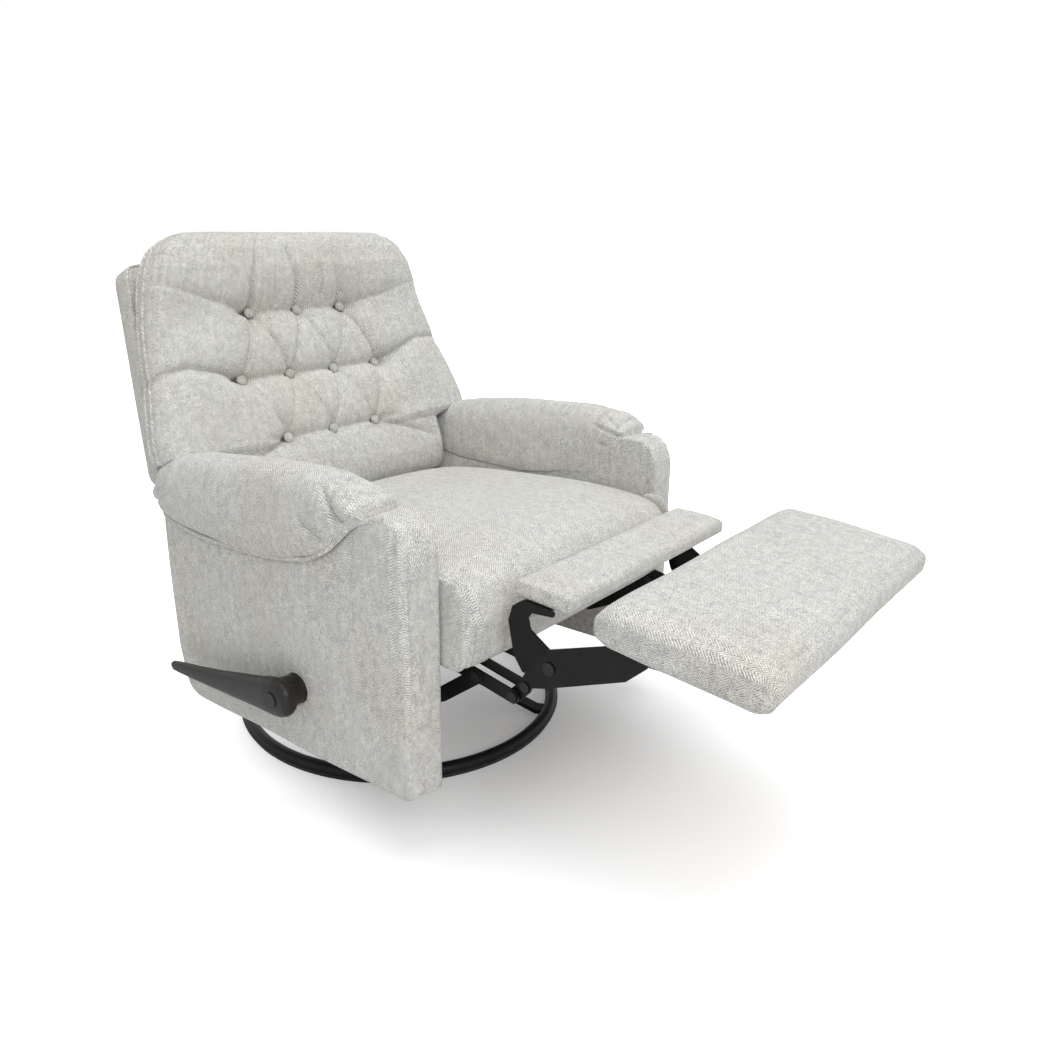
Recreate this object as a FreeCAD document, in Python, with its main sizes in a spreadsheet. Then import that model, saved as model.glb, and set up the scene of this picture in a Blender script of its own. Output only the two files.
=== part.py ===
import FreeCAD, Part
import math
import operator
import os
import Sketcher

# Swivel glider recliner, shown reclined with its footrest out.
# The chair faces -Y, the sitter's right hand is at -X, and the swivel axis is the Z axis.
# Lengths are millimetres and angles are degrees.

Vector = FreeCAD.Vector

driving = {
    # Floor base
    "ring_radius": 310,
    "ring_tube": 12.5,
    "ring_height": 14.5,
    "strip_half": 6,
    "strip_height": 3.6,
    "spoke_width": 28,
    "spoke_depth": 9,
    "spoke_turn": 24,
    "hub_radius": 92,
    "hub_height": 102,
    "plate_thick": 4,
    "bearing_thick": 6,
    "bolt_radius": 9,
    # Glide suspension
    "bracket_plane": 137,
    "bracket_half": 80,
    "steel": 3,
    "link_gap": 3,
    "link_width": 10,
    "hanger_spread": 62,
    "hanger_length": 90,
    "hanger_foot": 130,
    "pivot_radius": 5,
    "pivot_gap": 0.3,
    "head_radius": 8,
    "head_thick": 2,
    # Side frames and arms
    "panel_outer": 380,
    "panel_inner": 308,
    "board_thick": 18,
    "board_inset": 9,
    "panel_bottom": 104,
    "panel_front": 392,
    "panel_rear": 207,
    "panel_foot_rear": 146,
    "panel_corner": 27,
    "block_top": 540,
    "seam_height": 438,
    "soft_gap": 0.3,
    "arm_bulge": 27,
    "arm_top": 585,
    "arm_front": 347,
    "arm_rear": 199,
    # Tubes and drive shaft
    "tube_radius": 12.5,
    "tube_wall": 2,
    "front_tube_out": 230,
    "front_tube_up": 305,
    "rear_tube_back": 130,
    "rear_tube_up": 200,
    "shaft_radius": 8,
    "shaft_out": 150,
    "shaft_up": 225,
    # Seat
    "rail_plane": 266,
    "rail_thick": 24,
    "rail_bottom": 300,
    "rail_top": 362,
    "rail_front": 425,
    "rail_rear": 130,
    "seat_half": 294,
    "seat_front": 452,
    "seat_border": 320,
    "seat_side_top": 438,
    "seat_crown": 26,
    "seat_rear": 112,
    "seat_rear_top": 426,
    "spring_wire": 1.9,
    "spring_pitch": 112,
    "spring_wave": 22,
    # Footrest linkage
    "lift_pivot_out": 286,
    "lift_pivot_up": 310,
    "lift_end_out": 487,
    "lift_end_up": 272,
    "pair_out": 18,
    "pair_up": 19,
    "drive_reach": 137,
    "hook_pivot_out": 547,
    "hook_pivot_up": 333,
    "board_pivot_out": 690,
    "board_pivot_up": 395,
    "drive_plane": 259.5,
    "lift_plane": 255.5,
    "arm_plane": 249.5,
    "control_plane": 245.3,
    "hook_plane": 239.5,
    "boss_radius": 14,
    # Footrest
    "footrest_half": 304,
    "footrest_tilt": 6.6,
    "footrest_rear": 46,
    "footrest_front": 190,
    "footrest_base": 16,
    "footrest_top": 73,
    "footrest_board": 12,
    "footrest_edge": 24,
    # Filler pad
    "filler_half": 239,
    "filler_tilt": 4,
    "filler_rear": 81,
    "filler_front": 16,
    "filler_base": 82,
    "filler_top": 106,
    "filler_board": 8,
    "filler_edge": 14,
    # Recline linkage and back
    "recline_foot_back": 130,
    "recline_foot_up": 270,
    "recline_length": 90,
    "recline_lean": 19,
    "recline_plane": 301,
    "bracket_in": 297,
    "back_tilt": 21.5,
    "guide_foot_back": 172,
    "guide_foot_up": 268,
    "guide_head_back": 45,
    "guide_head_up": 22,
    "shell_front": 39,
    "shell_rear": 88,
    "shell_bottom": 170,
    "shell_top": 566,
    "shell_low_half": 372,
    "shell_high_half": 312,
    "post_outer": 296.7,
    "post_wide": 32,
    "cushion_front": -22,
    "cushion_low": 78,
    "cushion_low_half": 292,
    "wing_up": 214,
    "wing_half": 392,
    "head_half": 318,
    "head_up": 530,
    "cushion_top": 596,
    "head_roll": 30,
    "button_radius": 8.5,
    "button_pitch": 115,
    "button_low_up": 202,
    "button_mid_up": 326,
    "button_high_up": 450,
    # Handle
    "handle_length": 310,
    "handle_hub": 24,
    "handle_gap": 30,
    "handle_boss": 18,
    "handle_depth": 26,
    "handle_drop": 9,
}

doc = FreeCAD.newDocument("swivel_glider_recliner")
sheet = doc.addObject("Spreadsheet::Sheet", "sizes")
for row, (alias, number) in enumerate(driving.items(), start=1):
    sheet.set(f"A{row}", alias)
    sheet.set(f"B{row}", str(number))
    sheet.setAlias(f"B{row}", alias)
doc.recompute()

SIGNS = {"+": operator.add, "-": operator.sub, "*": operator.mul, "/": operator.truediv}


class Size:
    """A length that carries its number and the sheet formula it comes from."""

    def __init__(self, number, formula):
        self.number = float(number)
        self.formula = formula

    def __add__(self, other):
        return joined(self, "+", other)

    def __radd__(self, other):
        return joined(other, "+", self)

    def __sub__(self, other):
        return joined(self, "-", other)

    def __rsub__(self, other):
        return joined(other, "-", self)

    def __mul__(self, other):
        return joined(self, "*", other)

    def __rmul__(self, other):
        return joined(other, "*", self)

    def __truediv__(self, other):
        return joined(self, "/", other)

    def __neg__(self):
        return joined(0, "-", self)


def sized(value):
    """Give a plain number the same form as a sheet size."""
    return value if isinstance(value, Size) else Size(value, f"({value:.6f})")


def joined(first, sign, second):
    """Combine two sizes, both the numbers and the formulas."""
    first, second = sized(first), sized(second)
    return Size(
        SIGNS[sign](first.number, second.number),
        f"({first.formula} {sign} {second.formula})",
    )


def number(value):
    """The plain number of a size."""
    return sized(value).number


class Sheet:
    """Sheet sizes by name."""


s = Sheet()
for alias, value in driving.items():
    setattr(s, alias, Size(value, f"sizes.{alias}"))

pieces = {}


def bind(thing, path, value):
    """Tie one property of a document object to a size."""
    thing.setExpression(path, sized(value).formula)


def keep(label, thing):
    """Make a document object one of the chair's named pieces."""
    thing.Label = label
    pieces[label] = thing
    return thing


def put(thing, x=0, y=0, z=0, turn=None):
    """Place an object, with its position tied to sizes."""
    if turn is not None:
        thing.Placement = FreeCAD.Placement(Vector(), turn)
    for axis, value in (("x", x), ("y", y), ("z", z)):
        bind(thing, f"Placement.Base.{axis}", value)
    return thing


def block(x, y, z, width, depth, height, name="block"):
    """A square-edged bar from its lowest corner."""
    bar = doc.addObject("Part::Box", name)
    for side, value in (("Length", width), ("Width", depth), ("Height", height)):
        bind(bar, side, value)
    return put(bar, x, y, z)


def rod(start, radius, length, way="z", name="rod"):
    """A round bar that starts at a point and runs along x, y or z."""
    bar = doc.addObject("Part::Cylinder", name)
    bind(bar, "Radius", radius)
    bind(bar, "Height", length)
    turns = {
        "x": FreeCAD.Rotation(Vector(0, 1, 0), 90),
        "y": FreeCAD.Rotation(Vector(1, 0, 0), -90),
        "z": FreeCAD.Rotation(),
    }
    return put(bar, *start, turn=turns[way])


def joined_up(things, name="welded"):
    """Things made as one solid."""
    whole = doc.addObject("Part::MultiFuse", name)
    whole.Shapes = things
    return whole


def less(base, tool, name="cut"):
    """One object with another taken out of it."""
    rest = doc.addObject("Part::Cut", name)
    rest.Base = base
    rest.Tool = tool
    return rest


def group(things, name="set"):
    """Separate solids that share a node."""
    together = doc.addObject("Part::Compound", name)
    together.Links = things
    return together


def new_sketch(body, role):
    """A sketch on one of the body's own origin planes."""
    plane = next(p for p in body.Origin.OriginFeatures if p.Role == role)
    sketch = body.newObject("Sketcher::SketchObject", "sketch")
    sketch.AttachmentSupport = [(plane, "")]
    sketch.MapMode = "FlatFace"
    return sketch


def hold_point(sketch, index, end, point):
    """Hold one end of a line or a centre at a sized place."""
    for kind, value in zip(("DistanceX", "DistanceY"), point):
        value = sized(value)
        rule = Sketcher.Constraint(kind, -1, 1, index, end, value.number)
        row = sketch.addConstraint(rule)
        sketch.setExpression(f"Constraints[{row}]", value.formula)


def hold_radius(sketch, index, radius):
    """Hold the radius of a circle or an arc."""
    row = sketch.addConstraint(Sketcher.Constraint("Radius", index, number(radius)))
    sketch.setExpression(f"Constraints[{row}]", sized(radius).formula)


def flat(point):
    """A sized point as a sketch vector."""
    return Vector(number(point[0]), number(point[1]), 0)


def outline(sketch, corners):
    """A closed outline of straight lines."""
    count = len(corners)
    for index in range(count):
        start, end = flat(corners[index]), flat(corners[(index + 1) % count])
        sketch.addGeometry(Part.LineSegment(start, end), False)
    for index in range(count):
        follow = (index + 1) % count
        sketch.addConstraint(Sketcher.Constraint("Coincident", index, 2, follow, 1))
    for index, corner in enumerate(corners):
        hold_point(sketch, index, 1, corner)


def ring(sketch, centre, radius):
    """A circle."""
    circle = Part.Circle(flat(centre), Vector(0, 0, 1), number(radius))
    index = sketch.addGeometry(circle, False)
    hold_point(sketch, index, 3, centre)
    hold_radius(sketch, index, radius)


def capsule(sketch, start, end, radius):
    """A bar with round ends about two pivots."""
    first, last, size = flat(start), flat(end), number(radius)
    along = (last - first).normalize()
    across = Vector(-along.y, along.x, 0)
    angle = math.atan2(across.y, across.x)
    sketch.addGeometry(Part.LineSegment(first + across * size, last + across * size), False)
    far_end = Part.Circle(last, Vector(0, 0, 1), size)
    sketch.addGeometry(Part.ArcOfCircle(far_end, angle - math.pi, angle), False)
    sketch.addGeometry(Part.LineSegment(last - across * size, first - across * size), False)
    near_end = Part.Circle(first, Vector(0, 0, 1), size)
    sketch.addGeometry(Part.ArcOfCircle(near_end, angle, angle + math.pi), False)
    for line, line_end, arc, arc_end in ((0, 2, 1, 2), (2, 1, 1, 1), (2, 2, 3, 2), (0, 1, 3, 1)):
        sketch.addConstraint(Sketcher.Constraint("Tangent", line, line_end, arc, arc_end))
    sketch.addConstraint(Sketcher.Constraint("Equal", 1, 3))
    hold_radius(sketch, 1, radius)
    hold_point(sketch, 1, 3, end)
    hold_point(sketch, 3, 3, start)


def pad(body, sketch, length):
    """Material of an even thickness on a sketch."""
    layer = body.newObject("PartDesign::Pad", "pad")
    layer.Profile = sketch
    bind(layer, "Length", length)
    doc.recompute()
    return layer


def rounded(body, layer, radius, axis=Vector(1, 0, 0)):
    """Round the edges that run along an axis."""
    edges = [
        f"Edge{index}"
        for index, edge in enumerate(layer.Shape.Edges, start=1)
        if edge.Curve.TypeId == "Part::GeomLine" and abs(edge.Curve.Direction.dot(axis)) > 0.999
    ]
    fillet = body.newObject("PartDesign::Fillet", "corners")
    fillet.Base = (layer, edges)
    bind(fillet, "Radius", radius)
    doc.recompute()
    return fillet


def plate(low_x, thick, web=None, bars=(), holes=(), corner=None, role="YZ_Plane"):
    """A stamped plate in the fore-and-aft plane: a web, round-ended bars, and holes."""
    body = doc.addObject("PartDesign::Body", "plate")
    if web:
        sketch = new_sketch(body, role)
        outline(sketch, web)
        layer = pad(body, sketch, thick)
        if corner:
            rounded(body, layer, corner)
    for start, end, radius in bars:
        sketch = new_sketch(body, role)
        capsule(sketch, start, end, radius)
        pad(body, sketch, thick)
    if holes:
        before = body.Shape.Volume
        sketch = new_sketch(body, role)
        for centre, radius in holes:
            ring(sketch, centre, radius)
        pocket = body.newObject("PartDesign::Pocket", "holes")
        pocket.Profile = sketch
        pocket.Type = 1
        pocket.Midplane = True
        doc.recompute()
        if body.Shape.Volume >= before:
            raise ValueError("The holes cut nothing")
    return put(body, low_x)


def low_side(side, plane, thick):
    """Lowest x of a plate whose inner face is on a plane, right side or left."""
    return sized(plane) if side > 0 else -(plane + thick)


def pair(plane, thick, **shape):
    """The same plate on the right and on the left."""
    return [plate(low_side(side, plane, thick), thick, **shape) for side in (-1, 1)]


def rivet(side, inner, outer, point, radius=None, head=None):
    """A pivot pin between two planes with a head on each end."""
    radius = s.pivot_radius if radius is None else radius
    head = s.head_radius if head is None else head
    gap = s.pivot_gap
    length = outer - inner + gap * 2
    low = inner - gap if side > 0 else -(outer + gap)
    low_head = low - s.head_thick
    y, z = point
    shank = rod((low_head, y, z), radius, length + s.head_thick * 2, "x")
    near = rod((low_head, y, z), head, s.head_thick, "x")
    far = rod((low + length, y, z), head, s.head_thick, "x")
    return joined_up([shank, near, far], "rivet")


def rivets(inner, outer, points, **sizes):
    """Pivot pins at the same places on both sides."""
    return [rivet(side, inner, outer, point, **sizes) for side in (-1, 1) for point in points]


def traced(start, *steps):
    """A closed wire of lines, and of arcs where a step has a middle point too."""
    edges = []
    here = Vector(*start)
    for step in steps:
        points = [Vector(*point) for point in step]
        if len(points) == 1:
            edges.append(Part.LineSegment(here, points[0]).toShape())
        else:
            edges.append(Part.Arc(here, points[0], points[1]).toShape())
        here = points[-1]
    return Part.Wire(edges)


def soft(label, shape, placement=None):
    """A stuffed piece, whose lofted form is worked out from the sizes."""
    thing = doc.addObject("Part::Feature", label)
    thing.Shape = shape
    if placement is not None:
        thing.Placement = placement
    return keep(label, thing)


# Floor base: a ring of round tube on a plastic strip, with four bent spokes up to the hub plate.
floor_ring = doc.addObject("Part::Torus", "ring_tube")
bind(floor_ring, "Radius1", s.ring_radius)
bind(floor_ring, "Radius2", s.ring_tube)
put(floor_ring, 0, 0, s.ring_height)
keep("floor_ring", floor_ring)

spoke_foot = s.ring_height - s.spoke_depth / 2
spoke_profile = [
    (s.hub_radius * 0.32, s.hub_height),
    (s.hub_radius * 0.32, s.hub_height - s.spoke_depth),
    (s.hub_radius, s.hub_height - s.spoke_depth),
    (s.ring_radius - s.ring_tube * 2, spoke_foot),
    (s.ring_radius, spoke_foot),
    (s.ring_radius, spoke_foot + s.spoke_depth),
    (s.ring_radius - s.ring_tube * 2, spoke_foot + s.spoke_depth),
    (s.hub_radius, s.hub_height),
]
spokes = []
for quarter in range(4):
    spoke = doc.addObject("PartDesign::Body", "spoke")
    spoke_sketch = new_sketch(spoke, "XZ_Plane")
    outline(spoke_sketch, spoke_profile)
    strip = pad(spoke, spoke_sketch, s.spoke_width)
    strip.Midplane = True
    turn = driving["spoke_turn"] + 90 * quarter
    spoke.Placement = FreeCAD.Placement(Vector(), FreeCAD.Rotation(Vector(0, 0, 1), turn + 180 + 90))
    spokes.append(spoke)
spoke_set = less(group(spokes), floor_ring, "spokes")
keep("base_spokes", spoke_set)

strip_outer = rod((0, 0, 0), s.ring_radius + s.strip_half, s.strip_height)
strip_inner = rod((0, 0, 0), s.ring_radius - s.strip_half, s.strip_height)
keep("floor_strip", less(less(strip_outer, strip_inner), floor_ring, "strip"))

bolt_hole = s.bolt_radius + s.pivot_gap
lower_disc = rod((0, 0, s.hub_height), s.hub_radius, s.plate_thick)
lower_hole = rod((0, 0, s.hub_height), s.bolt_radius, s.plate_thick)
keep("hub_plate", less(lower_disc, lower_hole))
bearing_low = s.hub_height + s.plate_thick
race = rod((0, 0, bearing_low), s.hub_radius - 10, s.bearing_thick)
race_hole = rod((0, 0, bearing_low), s.hub_radius - 32, s.bearing_thick)
keep("swivel_bearing", less(race, race_hole))
turn_low = bearing_low + s.bearing_thick + s.soft_gap
bolt_top = turn_low + s.plate_thick + s.soft_gap
bolt_low = s.hub_height - 6
bolt_shank = rod((0, 0, bolt_low), s.bolt_radius, bolt_top - bolt_low)
bolt_nut = rod((0, 0, bolt_low), s.bolt_radius * 1.7, 6)
bolt_head = rod((0, 0, bolt_top), s.bolt_radius * 1.9, 6)
keep("swivel_bolt", joined_up([bolt_shank, bolt_nut, bolt_head]))

# Swivel platform: a cross plate with an upright bracket at each end.
platform = block(-s.bracket_plane, -s.bracket_half, turn_low, s.bracket_plane * 2, s.bracket_half * 2, s.plate_thick)
platform_hole = rod((0, 0, turn_low), bolt_hole, s.plate_thick)
keep("swivel_platform", less(platform, platform_hole))

hanger_head = s.hanger_foot + s.hanger_length
hanger_places = [(-s.hanger_spread, hanger_head), (s.hanger_spread, hanger_head)]
hole = s.pivot_radius + s.pivot_gap
bracket_web = [
    (-s.bracket_half, turn_low),
    (s.bracket_half, turn_low),
    (s.hanger_spread + s.link_width, hanger_head - 30),
    (s.hanger_spread + s.link_width, hanger_head + s.link_width),
    (s.hanger_spread - s.link_width * 2, hanger_head + s.link_width),
    (s.hanger_spread - s.link_width * 3, hanger_head - 40),
    (-s.hanger_spread + s.link_width * 3, hanger_head - 40),
    (-s.hanger_spread + s.link_width * 2, hanger_head + s.link_width),
    (-s.hanger_spread - s.link_width, hanger_head + s.link_width),
    (-s.hanger_spread - s.link_width, hanger_head - 30),
]
bracket_holes = [(place, s.pivot_radius) for place in hanger_places]
brackets = pair(s.bracket_plane, s.steel, web=bracket_web, holes=bracket_holes)
keep("glide_brackets", group(brackets))
hanger_plane = s.bracket_plane + s.steel + s.link_gap
rail_side = hanger_plane + s.steel + s.link_gap
keep("upper_glide_pins", group(rivets(s.bracket_plane, hanger_plane + s.steel, hanger_places)))

# Hanging links: four swing links that let the chair glide fore and aft.
for name, spread in (("front_glide_links", -s.hanger_spread), ("rear_glide_links", s.hanger_spread)):
    head, foot = (spread, hanger_head), (spread, s.hanger_foot)
    shape = {"bars": [(foot, head, s.link_width)], "holes": [(head, hole), (foot, hole)]}
    keep(name, group(pair(hanger_plane, s.steel, **shape)))

# Glide rails: stamped plates on the two cross tubes, hung from the feet of the links.
front_tube = (-s.front_tube_out, s.front_tube_up)
rear_tube = (s.rear_tube_back, s.rear_tube_up)
shaft_place = (-s.shaft_out, s.shaft_up)
rail_foot = s.hanger_foot - s.link_width - 2
rail_web = [
    (front_tube[0] - 22, front_tube[1] - 14),
    (front_tube[0] - 22, front_tube[1] + 18),
    (front_tube[0] + 22, front_tube[1] + 18),
    (shaft_place[0] + 34, shaft_place[1] - 6),
    (-s.hanger_spread - 14, s.hanger_foot + 16),
    (s.hanger_spread + 8, s.hanger_foot + 16),
    (rear_tube[0] - 22, rear_tube[1] + 18),
    (rear_tube[0] + 20, rear_tube[1] + 18),
    (rear_tube[0] + 20, rear_tube[1] - 18),
    (s.hanger_spread + 30, rail_foot),
    (-s.hanger_spread - 34, rail_foot),
    (shaft_place[0] - 22, shaft_place[1] - 14),
]
foot_places = [(-s.hanger_spread, s.hanger_foot), (s.hanger_spread, s.hanger_foot)]
rail_holes = [(place, s.pivot_radius) for place in foot_places]
rail_holes += [(front_tube, s.tube_radius), (rear_tube, s.tube_radius)]
rail_holes += [(shaft_place, s.shaft_radius + s.pivot_gap)]
keep("glide_rails", group(pair(rail_side, s.steel, web=rail_web, holes=rail_holes, corner=sized(6))))
keep("lower_glide_pins", group(rivets(hanger_plane, rail_side + s.steel, foot_places)))

# Cross tubes: steel tubes from one side board to the other.
tubes = []
for place in (front_tube, rear_tube):
    start = (-s.panel_inner, place[0], place[1])
    outer_tube = rod(start, s.tube_radius, s.panel_inner * 2, "x")
    inner_tube = rod(start, s.tube_radius - s.tube_wall, s.panel_inner * 2, "x")
    tubes.append(less(outer_tube, inner_tube, "tube"))
keep("cross_tubes", group(tubes))
tube_bolts = []
for side in (-1, 1):
    for place in (front_tube, rear_tube):
        inner = s.panel_inner - 20
        end = s.panel_inner + s.board_thick
        low = inner if side > 0 else -end
        shank = rod((low, *place), s.tube_radius - s.tube_wall, 20, "x")
        if side < 0:
            shank = rod((-s.panel_inner, *place), s.tube_radius - s.tube_wall, 20, "x")
        tube_bolts.append(joined_up([shank, rod((low, *place), 4, end - inner, "x")]))
keep("tube_end_bolts", group(tube_bolts))

# Side boards: plywood sides, hidden in the upholstered side panels.
board_bottom = s.panel_bottom + s.board_inset
board_web = [
    (-s.panel_front + s.board_inset, board_bottom),
    (s.panel_foot_rear - s.board_inset, board_bottom),
    (s.panel_rear - s.board_inset * 2, board_bottom + 60),
    (s.panel_rear - s.board_inset, s.seam_height - s.board_inset),
    (-s.panel_front + 238, s.seam_height - s.board_inset),
    (-s.panel_front + 152, s.seam_height + 24),
    (-s.panel_front + 92, s.block_top - s.board_inset * 3),
    (-s.panel_front + s.board_inset, s.block_top - s.board_inset * 3),
]
board_holes = [(front_tube, 4), (rear_tube, 4), (shaft_place, s.shaft_radius + 1)]
for side, hand in ((-1, "right"), (1, "left")):
    low = low_side(side, s.panel_inner, s.board_thick)
    keep(f"{hand}_side_board", plate(low, s.board_thick, web=board_web, holes=board_holes))

# Side panels: the padded cover on the outside of each board.
front, rear = number(s.panel_front), number(s.panel_rear)
bottom, seam, block_high = number(s.panel_bottom), number(s.seam_height), number(s.block_top)
gap = number(s.soft_gap)
foot_rear = number(s.panel_foot_rear)


def seam_path(x, lift):
    """The line where the arm pad meets the side panel, from the rear to the front."""
    high = seam + lift
    return [
        [(x, 150, high + 11), (x, 100, high + 3)],
        [(x, 0, high - 1), (x, -130, high + 9)],
        [(x, -(front - 160), high + 42), (x, -(front - 97), block_high - 5 + lift)],
        [(x, -(front - 67), block_high + 2 + lift), (x, -(front - 42), block_high + lift)],
    ]


def panel_face(x):
    """The side panel's outline at one depth."""
    return traced(
        (x, rear - 4, seam + 30),
        *seam_path(x, -gap),
        [(x, -(front - 10), block_high - 24), (x, -front, block_high - 72)],
        [(x, -front, bottom + 14)],
        [(x, -(front - 5), bottom + 4), (x, -(front - 15), bottom)],
        [(x, foot_rear, bottom)],
        [(x, foot_rear + 30, bottom + 18), (x, rear - 14, bottom + 62)],
        [(x, rear, bottom + 250)],
        [(x, rear - 4, seam + 30)],
    )


def side_panel(side):
    """A padded slab with soft vertical front edges."""
    inner = number(s.panel_inner + s.board_thick)
    outer = number(s.panel_outer)
    slab = Part.Face(panel_face(side * inner)).extrude(Vector(side * (outer - inner), 0, 0))
    radius = number(s.panel_corner)
    edges = [
        edge
        for edge in slab.Edges
        if abs(edge.CenterOfMass.x - side * outer) < 0.01
        and (edge.CenterOfMass.y < -front + 60 or edge.CenterOfMass.z < bottom + 1)
        and edge.CenterOfMass.z < block_high - 30
    ]
    return slab, edges, radius


for side, hand in ((-1, "right"), (1, "left")):
    slab, front_edges, radius = side_panel(side)
    straight = [edge for edge in front_edges if edge.CenterOfMass.y < -front + 1]
    slab = slab.makeFillet(radius * 0.5, straight)
    pierced = slab.cut(
        Part.makeCylinder(
            number(s.shaft_radius) + 1,
            200,
            Vector(side * number(s.panel_inner), -number(s.shaft_out), number(s.shaft_up)),
            Vector(side, 0, 0),
        )
    )
    soft(f"{hand}_side_panel", pierced if side < 0 else slab)

# Arm pads: stuffed rolls on top of the panels, lower and thinner at both ends.
arm_rear, arm_front = number(s.arm_rear), number(s.arm_front)
arm_high = number(s.arm_top)


def arm_section(side, y, low, high):
    """The roll's cross-section at one place along the arm."""
    inner = number(s.panel_inner) - 4
    outer = number(s.panel_outer) + number(s.arm_bulge)
    tall = high - low
    shoulder = low + tall * 0.8
    return traced(
        (side * (inner + 3), y, low),
        [(side * (outer - 8), y, low)],
        [(side * outer, y, low + tall * 0.42), (side * (outer - 16), y, shoulder)],
        [(side * (inner + outer) / 2, y, high), (side * (inner + 12), y, shoulder)],
        [(side * inner, y, low + tall * 0.42), (side * (inner + 3), y, low)],
    )


arm_stations = [
    (arm_rear, seam + 30, arm_high - 92),
    (arm_rear - 32, seam + 4, arm_high - 50),
    (arm_rear - 95, seam - 8, arm_high - 22),
    (0, seam - 12, arm_high - 10),
    (-(arm_front - 217), seam - 6, arm_high - 2),
    (-(arm_front - 120), seam + 10, arm_high),
    (-(arm_front - 64), seam + 60, arm_high),
    (-(arm_front - 20), block_high - 12, arm_high - 3),
    (-arm_front, block_high + 6, arm_high - 15),
]
for side, hand in ((-1, "right"), (1, "left")):
    roll = Part.makeLoft([arm_section(side, *station) for station in arm_stations], True, False)
    below = traced(
        (0, rear - 4, seam + 30),
        *seam_path(0, 0),
        [(0, -front, block_high)],
        [(0, -front, bottom)],
        [(0, rear + 40, bottom)],
        [(0, rear + 40, seam + 30)],
        [(0, rear - 4, seam + 30)],
    )
    prism = Part.Face(below).extrude(Vector(side * 500, 0, 0))
    soft(f"{hand}_arm_pad", roll.cut(prism))

# Mechanism plates: the stamped plates inside the seat rails that carry the footrest links.
lift_pivot = (-s.lift_pivot_out, s.lift_pivot_up)
lift_end = (-s.lift_end_out, s.lift_end_up)
pair_pivot = (-s.lift_pivot_out - s.pair_out, s.lift_pivot_up + s.pair_up)
pair_end = (-s.lift_end_out - s.pair_out, s.lift_end_up + s.pair_up)
mechanism_plane = s.rail_plane - s.steel
mechanism_web = [
    (-s.lift_pivot_out - 40, s.rail_top - 10),
    (-s.lift_pivot_out - 34, s.lift_pivot_up - 2),
    (-s.lift_pivot_out - 4, s.lift_pivot_up - 20),
    (-s.shaft_out - 26, s.shaft_up - 12),
    (-s.shaft_out + 4, s.shaft_up - 24),
    (-s.shaft_out + 26, s.shaft_up + 4),
    (-s.shaft_out + 90, s.rail_bottom),
    (s.rail_rear - 30, s.rail_bottom),
    (s.rail_rear - 30, s.rail_top - 10),
]
mechanism_holes = [(lift_pivot, s.pivot_radius), (pair_pivot, s.pivot_radius)]
mechanism_holes += [(shaft_place, s.shaft_radius + s.pivot_gap), (front_tube, s.tube_radius)]
mechanism = pair(mechanism_plane, s.steel, web=mechanism_web, holes=mechanism_holes, corner=sized(5))
keep("mechanism_plates", group(mechanism))
lift_pins = rivets(s.lift_plane, s.rail_plane, [lift_pivot])
pair_pins = rivets(s.control_plane, s.rail_plane, [pair_pivot])
keep("mechanism_pins", group(lift_pins + pair_pins))

# Seat frame: two side rails and two cross rails of hardwood.
head_room = s.head_thick + s.pivot_gap * 2
side_rails = []
for side in (-1, 1):
    low = low_side(side, s.rail_plane, s.rail_thick)
    front_end = s.rail_front - s.rail_thick - 0.3
    depth = front_end + s.rail_rear
    timber = block(low, -front_end, s.rail_bottom, s.rail_thick, depth, s.rail_top - s.rail_bottom)
    through = rod((low, *front_tube), s.tube_radius, s.rail_thick, "x")
    inner_face = s.rail_plane if side > 0 else -s.rail_plane - head_room
    sinks = [
        rod((inner_face, *place), s.head_radius + 1, head_room, "x")
        for place in (lift_pivot, pair_pivot)
    ]
    side_rails.append(less(timber, joined_up([through] + sinks)))
keep("seat_side_rails", group(side_rails))
cross_low = s.rail_top - 32
cross_half = s.rail_plane + s.rail_thick
cross_rails = [
    block(-cross_half, -s.rail_front, cross_low, cross_half * 2, s.rail_thick, 32),
    block(-s.rail_plane, s.rail_rear - s.rail_thick, cross_low, s.rail_plane * 2, s.rail_thick, 32),
]
keep("seat_cross_rails", group(cross_rails))

# Zigzag springs: five waved wires from the front cross rail to the rear one.
wire = number(s.spring_wire)
wave = number(s.spring_wave)
first_y = -number(s.rail_front) + 10
last_y = number(s.rail_rear) - 10
bends = 17
step = (last_y - first_y) / bends
deck = number(s.rail_top) + wire + 0.2


def zigzag(x):
    """One waved spring wire: half-turn bends joined by straight runs across."""
    reach = wave - step / 2
    edges = []
    here = Vector(x - reach, first_y, deck)
    for bend in range(bends):
        way = 1 if bend % 2 == 0 else -1
        across = Vector(x + way * reach, here.y, deck)
        edges.append(Part.LineSegment(here, across).toShape())
        middle = Vector(x + way * (reach + step / 2), here.y + step / 2, deck)
        here = Vector(x + way * reach, across.y + step, deck)
        edges.append(Part.Arc(across, middle, here).toShape())
    spine = Part.Wire(edges)
    start = Vector(x - reach, first_y, deck)
    section = Part.Wire(Part.Circle(start, Vector(1, 0, 0), wire).toShape())
    return spine.makePipeShell([section], True, False)


springs = [zigzag(number(s.spring_pitch) * place) for place in (-2, -1, 0, 1, 2)]
soft("seat_springs", Part.makeCompound(springs))
clips = []
for place in (-2, -1, 0, 1, 2):
    for y in (-s.rail_front + 3, s.rail_rear - 17):
        base = block(s.spring_pitch * place - 14, y, s.rail_top + s.spring_wire * 2 + 0.4, 28, 14, 1.5)
        clips.append(base)
keep("spring_clips", group(clips))

# Seat cushion: a crowned pad with a border that rolls over the front rail.
seat_front, seat_rear = number(s.seat_front), number(s.seat_rear)
seat_low = deck + 2 * wire + 3
border = number(s.seat_border)


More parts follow.
